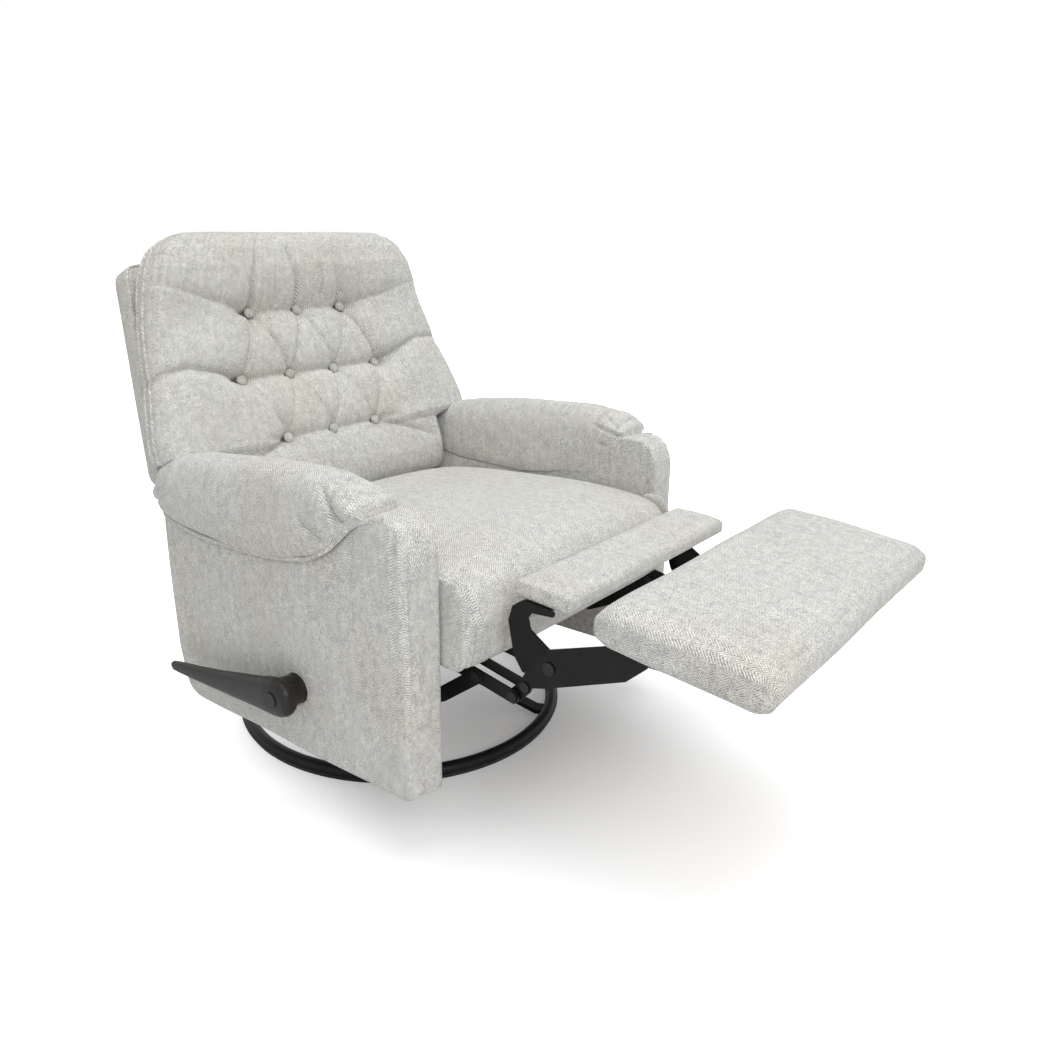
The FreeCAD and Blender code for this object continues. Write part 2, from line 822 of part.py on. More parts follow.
def seat_section(x, crown, drawn):
    """The cushion's side view at one distance from the middle."""
    nose = seat_front - drawn
    top = number(s.seat_side_top) + crown
    rail_face = number(s.rail_front) + gap
    return traced(
        (x, -rail_face, border),
        [(x, -(nose - 12), border + 8), (x, -(nose - 3), border + 30)],
        [(x, -nose, border + 62), (x, -(nose - 18), top - 22)],
        [(x, -(nose - 70), top + 1), (x, -(nose - 150), top + 3)],
        [(x, -40, top - 4), (x, seat_rear - 12, number(s.seat_rear_top))],
        [(x, seat_rear - 2, seat_low + 34), (x, seat_rear, seat_low)],
        [(x, -rail_face, seat_low)],
        [(x, -rail_face, border)],
    )


half = number(s.seat_half)
crown = number(s.seat_crown)
seat_sections = [
    seat_section(-half, -8, 12),
    seat_section(-half + 26, 4, 4),
    seat_section(-half * 0.5, crown * 0.75, 1),
    seat_section(0, crown, 0),
    seat_section(half * 0.5, crown * 0.75, 1),
    seat_section(half - 26, 4, 4),
    seat_section(half, -8, 12),
]
soft("seat_cushion", Part.makeLoft(seat_sections, True, False))

# Footrest linkage: on each side a lift link and a control link of the same length carry the
# footrest arm, and a drive link joins the lift link to the crank on the handle's shaft.
span_out = s.lift_end_out - s.lift_pivot_out
span_up = s.lift_end_up - s.lift_pivot_up
reach = math.hypot(number(span_out), number(span_up))
share = s.drive_reach / reach
drive_head = (-s.lift_pivot_out - span_out * share, s.lift_pivot_up + span_up * share)
crank_end = (-s.shaft_out - span_out * share, s.shaft_up + span_up * share)
bar = s.link_width
lift_shape = {
    "bars": [(lift_end, lift_pivot, bar + 1)],
    "holes": [(lift_end, hole), (lift_pivot, hole), (drive_head, s.pivot_radius)],
}
keep("lift_links", group(pair(s.lift_plane, s.steel, **lift_shape)))
control_shape = {
    "bars": [(pair_end, pair_pivot, bar - 2)],
    "holes": [(pair_end, hole), (pair_pivot, hole)],
}
keep("control_links", group(pair(s.control_plane, s.steel, **control_shape)))
drive_pins = rivets(s.lift_plane, s.drive_plane + s.steel, [drive_head])
keep("lift_pins", group(drive_pins))

elbow = (drive_head[0] + 68, drive_head[1] - 52)
drive_shape = {
    "bars": [(drive_head, elbow, bar + 2), (elbow, crank_end, bar + 2)],
    "holes": [(drive_head, hole), (crank_end, hole)],
}
keep("drive_links", group(pair(s.drive_plane, s.steel, **drive_shape)))

hook_pivot = (-s.hook_pivot_out, s.hook_pivot_up)
board_pivot = (-s.board_pivot_out, s.board_pivot_up)
arm_web = [
    (lift_end[0] + 9, lift_end[1] - 5),
    (hook_pivot[0] + 36, hook_pivot[1] - 42),
    (hook_pivot[0] + 4, hook_pivot[1] - 32),
    (board_pivot[0] + 20, board_pivot[1] - 42),
    (board_pivot[0] - 10, board_pivot[1] - 14),
    (board_pivot[0] - 10, board_pivot[1] + 10),
    (board_pivot[0] + 12, board_pivot[1] + 14),
    (hook_pivot[0] - 52, hook_pivot[1] + 48),
    (hook_pivot[0] + 4, hook_pivot[1] + 28),
    (hook_pivot[0] + 28, hook_pivot[1] + 6),
    (lift_end[0] - 6, lift_end[1] + 20),
]
arm_shape = {
    "web": arm_web,
    "bars": [(lift_end, pair_end, bar + 1), (hook_pivot, board_pivot, s.boss_radius)],
    "holes": [(place, s.pivot_radius) for place in (lift_end, pair_end, hook_pivot, board_pivot)],
}
keep("footrest_arms", group(pair(s.arm_plane, s.steel, **arm_shape)))
arm_pins = rivets(s.arm_plane, s.lift_plane + s.steel, [lift_end])
arm_pins += rivets(s.control_plane, s.arm_plane + s.steel, [pair_end, board_pivot])
arm_pins += rivets(s.hook_plane, s.arm_plane + s.steel, [hook_pivot], head=s.head_radius + 2)
keep("footrest_arm_pins", group(arm_pins))

# Footrest: a padded board on two brackets that turn on the ends of the arms.
footrest_turn = FreeCAD.Rotation(Vector(1, 0, 0), driving["footrest_tilt"])


def tilted(thing, pivot, turn):
    """Set a thing drawn about its pivot at its own tilt."""
    return put(thing, 0, pivot[0], pivot[1], turn)


board_low = s.footrest_base
bracket_outline = [
    (s.footrest_rear - 12, board_low),
    (-s.footrest_front + 40, board_low),
    (-s.footrest_front + 52, board_low - 12),
    (-12, -12),
    (12, -12),
    (s.footrest_rear - 12, board_low - 12),
]
foot_brackets = []
for side in (-1, 1):
    low = low_side(side, s.control_plane, s.steel)
    web_plate = plate(low, s.steel, web=bracket_outline, holes=[((0, 0), hole)])
    foot_brackets.append(web_plate)
bracket_group = group(foot_brackets, "brackets")
tilted(bracket_group, board_pivot, footrest_turn)
keep("footrest_brackets", bracket_group)

board_edge = s.footrest_edge
footrest_board = block(
    -s.footrest_half + board_edge,
    -s.footrest_front + board_edge,
    board_low,
    s.footrest_half * 2 - board_edge * 2,
    s.footrest_rear + s.footrest_front - board_edge * 2,
    s.footrest_board,
)
board_group = group([footrest_board], "board")
tilted(board_group, board_pivot, footrest_turn)
keep("footrest_board", board_group)

rear_y, front_y = number(s.footrest_rear), -number(s.footrest_front)
pad_low = number(s.footrest_base + 1)
pad_high = number(s.footrest_top)


def cushion_section(x, y_rear, y_front, low, high, edge):
    """A crowned cushion section with rounded front and rear edges, flat below."""
    middle = (y_rear + y_front) / 2
    waist = (low + high) / 2 - 2
    return traced(
        (x, y_front + edge, low),
        [(x, y_rear - edge, low)],
        [(x, y_rear, waist), (x, y_rear - edge * 1.4, high - 5)],
        [(x, middle, high), (x, y_front + edge * 1.4, high - 5)],
        [(x, y_front, waist), (x, y_front + edge, low)],
    )


def wrapped(sections, board, gap):
    """A cushion lofted through its sections, hollowed for the board it wraps."""
    doc.recompute()
    box = board.Shape.BoundBox
    room = Part.makeBox(
        box.XLength + gap * 2,
        box.YLength + gap * 2,
        box.ZLength + gap + 20,
        Vector(box.XMin - gap, box.YMin - gap, box.ZMin - 20),
    )
    return Part.makeLoft(sections, True, False).cut(room)


foot_half = number(s.footrest_half)
foot_sections = [
    cushion_section(place * foot_half, rear_y - drawn, front_y + drawn, pad_low, pad_high - drop, 10)
    for place, drawn, drop in (
        (-1, 10, 22),
        (-0.95, 3, 8),
        (-0.6, 0, 2),
        (0, 0, 0),
        (0.6, 0, 2),
        (0.95, 3, 8),
        (1, 10, 22),
    )
]
foot_place = FreeCAD.Placement(
    Vector(0, number(board_pivot[0]), number(board_pivot[1])), footrest_turn
)
soft("footrest_pad", wrapped(foot_sections, footrest_board, gap), foot_place)

# Filler pad: a thin pad between the seat and the footrest, on two hooked brackets.
filler_turn = FreeCAD.Rotation(Vector(1, 0, 0), driving["filler_tilt"])
filler_edge = s.filler_edge
filler_board = block(
    -s.filler_half + filler_edge,
    -s.filler_front + filler_edge,
    s.filler_base,
    s.filler_half * 2 - filler_edge * 2,
    s.filler_rear + s.filler_front - filler_edge * 2,
    s.filler_board,
)
filler_group = group([filler_board], "filler")
tilted(filler_group, hook_pivot, filler_turn)
keep("filler_board", filler_group)

filler_low = number(s.filler_base + 1)
filler_high = number(s.filler_top)
filler_half = number(s.filler_half)
filler_sections = [
    cushion_section(
        place * filler_half,
        number(s.filler_rear) - drawn,
        -number(s.filler_front) + drawn,
        filler_low,
        filler_high - drop,
        6,
    )
    for place, drawn, drop in ((-1, 4, 5), (-0.94, 1, 2), (0, 0, 0), (0.94, 1, 2), (1, 4, 5))
]
filler_place = FreeCAD.Placement(Vector(0, number(hook_pivot[0]), number(hook_pivot[1])), filler_turn)
soft("filler_pad", wrapped(filler_sections, filler_board, gap), filler_place)

hook_web = [
    (70, -8),
    (84, 44),
    (79, 68),
    (62, s.filler_base - 0.3),
    (6, s.filler_base - 0.3),
    (6, s.filler_base - 8),
    (44, s.filler_base - 14),
    (50, 58),
    (44, 42),
    (6, 21),
    (-14, 10),
    (-14, -8),
    (14, -18),
    (52, -30),
]
hooks = pair(s.hook_plane, s.steel, web=hook_web, holes=[((0, 0), hole)], corner=sized(3))
tabs = [
    block(low_side(side, s.hook_plane - 28, sized(28)), 14, s.filler_base - 3.3, 28, 44, 3)
    for side in (-1, 1)
]
hook_pair = [joined_up([web, tab], "hook") for web, tab in zip(hooks, tabs)]
hook_group = group(hook_pair, "hooks")
tilted(hook_group, hook_pivot, filler_turn)
keep("filler_hooks", hook_group)

# Drive shaft, cranks and handle: one turning set, worked by the lever on the sitter's right.
shaft_end = s.lift_plane + s.steel
handle_face = s.panel_outer + s.handle_gap
shaft_length = handle_face + 14 + shaft_end
keep("drive_shaft", rod((-handle_face - 14, *shaft_place), s.shaft_radius, shaft_length, "x"))
crank_shape = {
    "bars": [(shaft_place, crank_end, bar + 1)],
    "holes": [(shaft_place, s.shaft_radius), (crank_end, s.pivot_radius)],
}
cranks = pair(s.lift_plane, s.steel, **crank_shape)
keep("drive_cranks", group(cranks))
keep("crank_pins", group(rivets(s.lift_plane, s.drive_plane + s.steel, [crank_end])))

lever = doc.addObject("PartDesign::Body", "lever")
tip = (s.handle_length - 10, -s.handle_drop)
for start, end, radius, depth in (
    ((0, 0), (s.handle_hub, 0), s.handle_hub, s.handle_depth),
    ((s.handle_hub, 0), (s.handle_length * 0.45, -s.handle_drop * 0.4), s.handle_hub * 0.62, s.handle_depth - 6),
    ((s.handle_length * 0.4, -s.handle_drop * 0.4), tip, s.handle_hub * 0.42, s.handle_depth - 10),
):
    lever_sketch = new_sketch(lever, "YZ_Plane")
    capsule(lever_sketch, start, end, radius)
    pad(lever, lever_sketch, depth)
boss = new_sketch(lever, "YZ_Plane")
ring(boss, (0, 0), s.handle_boss)
pad(lever, boss, s.handle_depth + s.handle_gap - 4)
lever_hole = new_sketch(lever, "YZ_Plane")
ring(lever_hole, (0, 0), s.shaft_radius)
socket = lever.newObject("PartDesign::Pocket", "socket")
socket.Profile = lever_hole
socket.Type = 1
socket.Midplane = True
put(lever, -handle_face - s.handle_depth, *shaft_place)
keep("handle_lever", lever)
cap = rod((-handle_face - s.handle_depth - 3, *shaft_place), s.handle_hub * 0.55, 3, "x")
cap_stem = rod((-handle_face - s.handle_depth, *shaft_place), s.shaft_radius, s.handle_depth - 14, "x")
keep("handle_cap", joined_up([cap, cap_stem]))

# Recline linkage: links on the side boards swing the back's foot forward as it leans.
lean = math.radians(driving["recline_lean"])
recline_foot = (s.recline_foot_back, s.recline_foot_up)
recline_head = (
    s.recline_foot_back - s.recline_length * math.sin(lean),
    s.recline_foot_up + s.recline_length * math.cos(lean),
)
hinge_plane = s.panel_inner - s.steel
hinge_web = [
    (s.recline_foot_back - 60, s.recline_foot_up - 22),
    (s.guide_foot_back + 16, s.recline_foot_up - 22),
    (s.guide_foot_back + 16, s.recline_foot_up + 24),
    (s.recline_foot_back - 60, s.recline_foot_up + 24),
]
hinge_plates = pair(
    hinge_plane, s.steel, web=hinge_web, holes=[(recline_foot, s.pivot_radius)], corner=sized(8)
)
keep("hinge_plates", group(hinge_plates))
link_shape = {
    "bars": [(recline_foot, recline_head, bar + 1)],
    "holes": [(recline_foot, hole), (recline_head, hole)],
}
keep("recline_links", group(pair(s.recline_plane, s.steel, **link_shape)))
foot_pins = []
head_pins = []
for side in (-1, 1):
    low = s.recline_plane - 1 if side > 0 else -s.panel_inner
    stem = rod((low, *recline_foot), s.pivot_radius, s.panel_inner - s.recline_plane + 1, "x")
    low_head = s.recline_plane - 3 if side > 0 else -s.recline_plane + 1
    foot_pins.append(joined_up([stem, rod((low_head, *recline_foot), s.head_radius, 2, "x")]))
keep("recline_foot_pins", group(foot_pins))

# Back: drawn upright about the heads of the recline links, then leaned back as one.
back_turn = FreeCAD.Rotation(Vector(1, 0, 0), -driving["back_tilt"])
back_place = FreeCAD.Placement(
    Vector(0, number(recline_head[0]), number(recline_head[1])), back_turn
)


def on_back(label, things):
    """Lean a set of back pieces to the back's angle."""
    together = group(things, label)
    put(together, 0, recline_head[0], recline_head[1], back_turn)
    return keep(label, together)


bracket_shape = {
    "bars": [
        ((0, 0), (s.shell_front + 10, 70), bar + 2),
        ((s.shell_front + 10, 70), (s.shell_front + 14, s.shell_bottom + 40), bar + 3),
    ],
    "holes": [((0, 0), s.pivot_radius)],
}
on_back("back_brackets", pair(s.bracket_in, s.steel, **bracket_shape))
for side in (-1, 1):
    low = s.bracket_in if side > 0 else -(s.recline_plane + s.steel)
    pin_low = s.bracket_in - 2 if side > 0 else -(s.recline_plane + s.steel)
    stem = rod((pin_low, 0, 0), s.pivot_radius, s.recline_plane + s.steel + 2 - s.bracket_in, "x")
    head_low = s.bracket_in - 2 if side > 0 else -s.bracket_in
    head_pins.append(joined_up([stem, rod((head_low, 0, 0), s.head_radius, 2, "x")]))
on_back("recline_head_pins", head_pins)

post_low = s.shell_bottom - 70
post_height = s.shell_top - 30 - post_low
posts = [
    block(low_side(side, s.post_outer - s.post_wide, s.post_wide), s.shell_front, post_low, s.post_wide, 30, post_height)
    for side in (-1, 1)
]
on_back("back_posts", posts)
post_inner = s.post_outer - s.post_wide
rails = [
    block(-post_inner, s.shell_front, up, post_inner * 2, 30, 40)
    for up in (post_low + 6, s.shell_top - 90)
]
on_back("back_rails", rails)
strap_low = post_low + 46
straps = [
    block(-26 + place * 110, s.shell_front + 1, strap_low, 52, 2, s.shell_top - 90 - strap_low)
    for place in (-2, -1, 0, 1, 2)
]
on_back("back_straps", straps)

# Back shell: the padded rear cover that stands out to both sides of the frame.
shell_low, shell_high = number(s.shell_bottom), number(s.shell_top)
shell_y, shell_back = number(s.shell_front), number(s.shell_rear)
low_half, high_half = number(s.shell_low_half), number(s.shell_high_half)


def shell_outline(y, drawn):
    """The shell's outline at one depth, narrower to the top with round corners."""
    low_x, high_x = low_half - drawn, high_half - drawn
    low_z, high_z = shell_low + drawn, shell_high - drawn
    return traced(
        (-low_x + 12, y, low_z),
        [(low_x - 12, y, low_z)],
        [(low_x - 3, y, low_z + 4), (low_x, y, low_z + 14)],
        [(high_x + 3, y, high_z - 40)],
        [(high_x - 12, y, high_z - 11), (high_x - 42, y, high_z)],
        [(-high_x + 42, y, high_z)],
        [(-high_x + 12, y, high_z - 11), (-high_x - 3, y, high_z - 40)],
        [(-low_x, y, low_z + 14)],
        [(-low_x + 3, y, low_z + 4), (-low_x + 12, y, low_z)],
    )


shell_sections = [
    shell_outline(shell_y, 4),
    shell_outline(shell_y + 10, 0),
    shell_outline(shell_back - 10, 0),
    shell_outline(shell_back, 7),
]
shell = Part.makeLoft(shell_sections, True, True)
frame_room = Part.makeBox(
    2 * number(s.post_outer) + gap * 2,
    30 + gap + 1,
    shell_high - shell_low + 60 - 28,
    Vector(-number(s.post_outer) - gap, shell_y - 1, shell_low - 60),
)
bracket_room = Part.makeBox(
    2 * number(s.bracket_in + s.steel) + gap * 2,
    42,
    140,
    Vector(-number(s.bracket_in + s.steel) - gap, shell_y - 8, shell_low - 60),
)
soft("back_shell", shell.cut(frame_room).cut(bracket_room), back_place)

# Back cushion: a plump front with a head roll, drawn-in sides and three tufted rows.
face_y = number(s.cushion_front)
wing_z, wing_x = number(s.wing_up), number(s.wing_half)
head_z, head_x = number(s.head_up), number(s.head_half)
top_z, low_z = number(s.cushion_top), number(s.cushion_low)
narrow = number(s.cushion_low_half)
behind = shell_y - 0.3
deep_back = behind + 14


def cushion_slice(z, half, front_y, deep):
    """The cushion's plan at one height: flat behind, crowned in front, sides drawn in."""
    side_y = front_y + (deep - front_y) * 0.45
    return traced(
        (-half + 16, deep, z),
        [(-half + 1, (side_y + deep) / 2 + 3, z), (-half, side_y, z)],
        [(-half + 6, front_y + 13, z), (-half + 44, front_y + 6, z)],
        [(0, front_y, z), (half - 44, front_y + 6, z)],
        [(half - 6, front_y + 13, z), (half, side_y, z)],
        [(half - 1, (side_y + deep) / 2 + 3, z), (half - 16, deep, z)],
        [(-half + 16, deep, z)],
    )


roll = number(s.head_roll)
taper = (wing_x - head_x) / (head_z - wing_z)
slices = [
    cushion_slice(low_z, wing_x - 4, face_y + 14, deep_back),
    cushion_slice(low_z + 34, wing_x, face_y - 3, deep_back),
    cushion_slice(wing_z - 10, wing_x, face_y - 8, deep_back),
    cushion_slice((wing_z + head_z) / 2, wing_x - taper * (head_z - wing_z) / 2, face_y - 4, deep_back),
    cushion_slice(head_z - 60, head_x + taper * 60, face_y - roll * 0.5, deep_back),
    cushion_slice(head_z, head_x, face_y - roll, deep_back),
    cushion_slice(top_z - 22, head_x - 26, face_y - roll, deep_back),
    cushion_slice(top_z, head_x - 66, face_y - roll + 24, behind - 6),
]
room_behind = Part.makeBox(1200, 200, 1200, Vector(-600, behind, -200))
cushion = Part.makeLoft(slices, True, False).cut(room_behind)
for side in (-1, 1):
    under_wing = traced(
        (side * narrow, face_y - 90, low_z - 20),
        [(side * narrow, face_y - 90, wing_z - 16)],
        [(side * (narrow + 5), face_y - 90, wing_z - 5), (side * (narrow + 16), face_y - 90, wing_z)],
        [(side * (wing_x - 26), face_y - 90, wing_z)],
        [(side * (wing_x - 8), face_y - 90, wing_z + 6), (side * (wing_x + 1), face_y - 90, wing_z + 24)],
        [(side * (wing_x + 40), face_y - 90, wing_z + 24)],
        [(side * (wing_x + 40), face_y - 90, low_z - 20)],
        [(side * narrow, face_y - 90, low_z - 20)],
    )
    cushion = cushion.cut(Part.Face(under_wing).extrude(Vector(0, 200, 0)))
button_rows = [
    (number(s.button_low_up), (-1, 0, 1), 4),
    (number(s.button_mid_up), (-1.5, -0.5, 0.5, 1.5), 18),
    (number(s.button_high_up), (-1, 0, 1), 12),
]
pitch = number(s.button_pitch)
button_r = number(s.button_radius)
dimple_out = 70
dimple_radius = button_r + 1 + dimple_out * 1.12
buttons = []
for up, places, face in button_rows:
    for place in places:
        centre = Vector(place * pitch, face - 3, up)
        mouth = centre - Vector(0, dimple_out + 1, 0)
        sink = Part.makeCone(dimple_radius, button_r + 1, dimple_out, mouth, Vector(0, 1, 0))
        cushion = cushion.cut(sink)
        dome = Part.makeSphere(button_r * 1.35, centre + Vector(0, button_r * 0.55, 0))
        disc = Part.makeCylinder(button_r, 14, centre + Vector(0, -9, 0), Vector(0, 1, 0))
        buttons.append(dome.common(disc))
    groove_half = (max(places) + 0.9) * pitch
    groove = Part.makeCylinder(34, groove_half * 2, Vector(-groove_half, face - 45, up), Vector(1, 0, 0))
    cushion = cushion.cut(groove)
well = Part.makeCompound(
    [
        Part.makeCylinder(button_r + 0.5, 22, Vector(place * pitch, face - 12, up), Vector(0, 1, 0))
        for up, places, face in button_rows
        for place in places
    ]
)
soft("back_cushion", cushion.cut(well), back_place)
soft("back_buttons", Part.makeCompound(buttons), back_place)

doc.recompute()
faults = []
for thing in doc.Objects:
    if any(word in state for state in thing.State for word in ("Invalid", "Error")):
        faults.append(f"{thing.Label} is {thing.State}")
for label, thing in pieces.items():
    if thing.Shape.isNull() or not thing.Shape.isValid():
        faults.append(f"{label} has no valid shape")
    elif not thing.Shape.Solids:
        faults.append(f"{label} has no solid")
if faults:
    raise ValueError("; ".join(faults))

os.makedirs("parts", exist_ok=True)
for label, thing in pieces.items():
    thing.Shape.exportStep(f"parts/{label}.step")
print(len(pieces), "pieces written")
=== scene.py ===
import math

import bpy
import numpy as np
from mathutils import Matrix, Vector


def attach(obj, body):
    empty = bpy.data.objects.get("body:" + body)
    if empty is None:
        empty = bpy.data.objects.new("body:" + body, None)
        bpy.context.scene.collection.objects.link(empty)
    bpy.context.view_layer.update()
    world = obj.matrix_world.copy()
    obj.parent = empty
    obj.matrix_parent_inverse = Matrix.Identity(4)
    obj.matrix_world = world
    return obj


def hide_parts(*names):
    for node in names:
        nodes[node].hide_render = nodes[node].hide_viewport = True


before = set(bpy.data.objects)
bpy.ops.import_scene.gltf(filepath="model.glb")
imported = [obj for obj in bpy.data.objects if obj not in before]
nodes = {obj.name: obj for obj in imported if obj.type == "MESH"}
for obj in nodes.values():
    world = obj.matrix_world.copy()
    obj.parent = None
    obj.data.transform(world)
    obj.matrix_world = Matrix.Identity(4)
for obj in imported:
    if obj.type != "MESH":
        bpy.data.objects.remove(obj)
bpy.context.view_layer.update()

# ---------------------------------------------------------------------------
# Side panels. Each side of the chair is a board under a thin layer of padding, covered in grey
# chenille with a herringbone weave, pulled round the front edge and tacked out of sight.

HANDS = {-1: "right", 1: "left"}
PANEL_INNER, PANEL_OUTER = 0.3055, 0.380
PANEL_FRONT, PANEL_FOOT = -0.392, 0.104
PANEL_REAR = ([0, 0.08, 0.25, 1], [0.172, 0.190, 0.202, 0.206])  # share of the height, rear edge
PANEL_HALF = (0.0365, 0.295, 0.22)
STITCH_LINE, STITCH_WIDE = -0.371, 0.0026
TWILL_PITCH = 0.0044
SEAM = [(0.200, 0.470), (0.190, 0.458), (0.150, 0.449), (0.100, 0.441), (0.045, 0.438),
        (-0.057, 0.441), (-0.130, 0.447), (-0.199, 0.461), (-0.243, 0.486), (-0.270, 0.510),
        (-0.288, 0.527), (-0.306, 0.537), (-0.335, 0.542), (-0.360, 0.541), (-0.377, 0.534),
        (-0.387, 0.520), (-0.392, 0.500)]


def wiring(tree):
    """Empties a node tree and hands back short calls that add a node, a sum, a noise or a ramp."""
    tree.nodes.clear()

    def node(kind, feeds=None, **settings):
        made = tree.nodes.new(kind)
        count = len(tree.nodes)
        made.location = (count % 8 * 190, -(count // 8) * 260)
        for key, value in settings.items():
            setattr(made, key, value)
        for key, value in (feeds or {}).items():
            if isinstance(value, bpy.types.NodeSocket):
                tree.links.new(value, made.inputs[key])
            else:
                made.inputs[key].default_value = value
        return made

    def maths(operation, *values):
        return node("ShaderNodeMath", dict(enumerate(values)), operation=operation).outputs[0]

    def noise(place, scale, detail, roughness=0.5):
        return node("ShaderNodeTexNoise", {"Vector": place, "Scale": scale, "Detail": detail,
                                           "Roughness": roughness}).outputs[0]

    def ramp(value, *stops):
        made = node("ShaderNodeValToRGB", {0: value})
        for element, (place, colour) in zip(made.color_ramp.elements, stops):
            element.position = place
            element.color = (*colour, 1)
        return made.outputs[0]

    return node, maths, noise, ramp


def chenille(name, light, dark, columns=0.0095, stain=0.5):
    """A heathered herringbone cloth, laid out on each piece's own weave map in metres."""
    material = bpy.data.materials.new(name)
    material.use_nodes = True
    node, maths, noise, ramp = wiring(material.node_tree)

    # The weave: twill lines that turn about at each column, a little uneven.
    weave = node("ShaderNodeUVMap", uv_map="weave").outputs[0]
    across, along = node("ShaderNodeSeparateXYZ", {0: weave}).outputs[:2]
    phase = maths("FRACT", maths("DIVIDE", across, columns * 2))
    zig = maths("ABSOLUTE", maths("SUBTRACT", phase, 0.5))
    slope = maths("MULTIPLY", zig, columns * 2 * 1.1)
    bent = maths("MULTIPLY_ADD", noise(weave, 90.0, 2.0), 0.0022, maths("ADD", along, slope))
    twill = maths("SINE", maths("MULTIPLY", bent, 2 * math.pi / TWILL_PITCH))

    # The yarn: heathered fibres, slubs, and streaks drawn out along the weave.
    where = node("ShaderNodeTexCoord").outputs["Object"]
    yarn = noise(where, 430.0, 3.0, 0.7)
    slub = noise(where, 75.0, 4.0, 0.65)
    drawn = node("ShaderNodeMapping", {"Vector": weave, "Scale": (120.0, 9.0, 1.0)}).outputs[0]
    streak = maths("SUBTRACT", noise(drawn, 1.0, 2.0), 0.5)
    mix = maths("MULTIPLY_ADD", twill, 0.115, maths("MULTIPLY", yarn, 0.90))
    mix = maths("MULTIPLY_ADD", slub, 0.26, mix)
    mix = maths("MULTIPLY_ADD", streak, 0.11, mix)
    heather = ramp(mix, (0.36, dark), (0.80, light))

    # Use: broad areas that have gone faintly warmer.
    used = node("ShaderNodeMapRange", {"Value": noise(where, 5.5, 3.0), "From Min": 0.48,
                                       "From Max": 0.78, "To Max": stain}).outputs[0]
    warm = node("ShaderNodeMix", {"Factor": used, "A": heather, "B": (0.93, 0.87, 0.74, 1)},
                data_type="RGBA", blend_type="MULTIPLY").outputs["Result"]
    height = maths("MULTIPLY_ADD", twill, 0.35, yarn)
    bump = node("ShaderNodeBump", {"Strength": 0.75, "Distance": 0.0014, "Height": height})
    shader = node("ShaderNodeBsdfPrincipled", {
        "Base Color": warm, "Normal": bump.outputs[0], "Roughness": 0.93,
        "Specular IOR Level": 0.18, "Sheen Weight": 0.15, "Sheen Roughness": 0.5})
    node("ShaderNodeOutputMaterial", {0: shader.outputs[0]})
    return material


cover = chenille("grey_chenille", (0.90, 0.888, 0.835), (0.245, 0.242, 0.232))


def placed(name, data):
    """An object with this data, at the origin."""
    made = bpy.data.objects.new(name, data)
    bpy.context.collection.objects.link(made)
    return made


def mesh_piece(name, points, faces, material, weave):
    """A smooth mesh with its place in its points and its cloth on a map in metres."""
    mesh = bpy.data.meshes.new(name)
    mesh.from_pydata([tuple(point) for point in points], [], [tuple(face) for face in faces])
    layer = mesh.uv_layers.new(name="weave")
    layer.data.foreach_set("uv", np.asarray(weave, dtype=np.float32).ravel())
    mesh.polygons.foreach_set("use_smooth", [True] * len(mesh.polygons))
    mesh.materials.append(material)
    mesh.update()
    return placed(name, mesh)


def block(name, counts, half, shape, flip=False):
    """A closed block of quads in the grey cloth, which is cut to the half sizes given. shape moves
    points of the cube from -1 to 1 to their places, and a mirrored shape is flipped."""
    corners, maps = [], []
    for axis in range(3):
        first, second = [other for other in range(3) if other != axis]
        i, j = np.meshgrid(range(counts[first]), range(counts[second]), indexing="ij")
        for end in (0, counts[axis]):
            quad = np.zeros((i.size, 4, 3), int)
            for corner, (di, dj) in enumerate(((0, 0), (1, 0), (1, 1), (0, 1))):
                quad[:, corner, axis] = end
                quad[:, corner, first] = i.ravel() + di
                quad[:, corner, second] = j.ravel() + dj
            if (axis != 1) != (end > 0):
                quad = quad[:, ::-1]
            corners.append(quad)
            flat = quad[:, :, (first, second)] / np.array([counts[first], counts[second]])
            maps.append((flat * 2 - 1) * np.array([half[first], half[second]]))
    corners = np.concatenate(corners)
    size = np.array(counts) + 1
    code = (corners[..., 0] * size[1] + corners[..., 1]) * size[2] + corners[..., 2]
    used, faces = np.unique(code, return_inverse=True)
    lattice = np.stack([used // (size[1] * size[2]), used // size[2] % size[1], used % size[2]])
    cube = lattice / np.array(counts)[:, None] * 2 - 1
    weave = np.concatenate(maps).reshape(-1, 2)
    piece = mesh_piece(name, shape(*cube), faces.reshape(-1, 4), cover, weave)
    if flip:
        piece.data.flip_normals()
    return piece


def rolled(a, b, c, half, radius):
    """The cube's points on a block with rolled edges."""
    half, radius = np.array(half), np.array(radius)
    flat = np.stack([a, b, c], axis=-1) * half
    core = np.clip(flat, radius - half, half - radius)
    away = (flat - core) / radius
    long = np.maximum(np.linalg.norm(away, axis=-1, keepdims=True), 1e-9)
    return core + away / long * radius


def ripple(x, y, scale, seed):
    """A soft, uneven wave between about -1 and 1."""
    maker = np.random.default_rng(seed)
    waves, total = 7, 0
    for turn in maker.uniform(0, 2 * math.pi, waves):
        stretch = maker.uniform(0.5, 1.6)
        way = x * math.cos(turn) + y * math.sin(turn)
        total = total + np.sin(way * scale * stretch + turn * 9)
    return total * 2 / waves


def along_line(line, x):
    """Height of a drawn line at each x."""
    line = sorted(line)
    return np.interp(x, [point[0] for point in line], [point[1] for point in line])


def dress(piece, body, *replaced, fill=None, slot="grey_chenille"):
    """The piece rides on its body and stands for its CAD nodes. The slot is not used."""
    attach(piece, body)
    if replaced:
        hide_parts(*replaced)


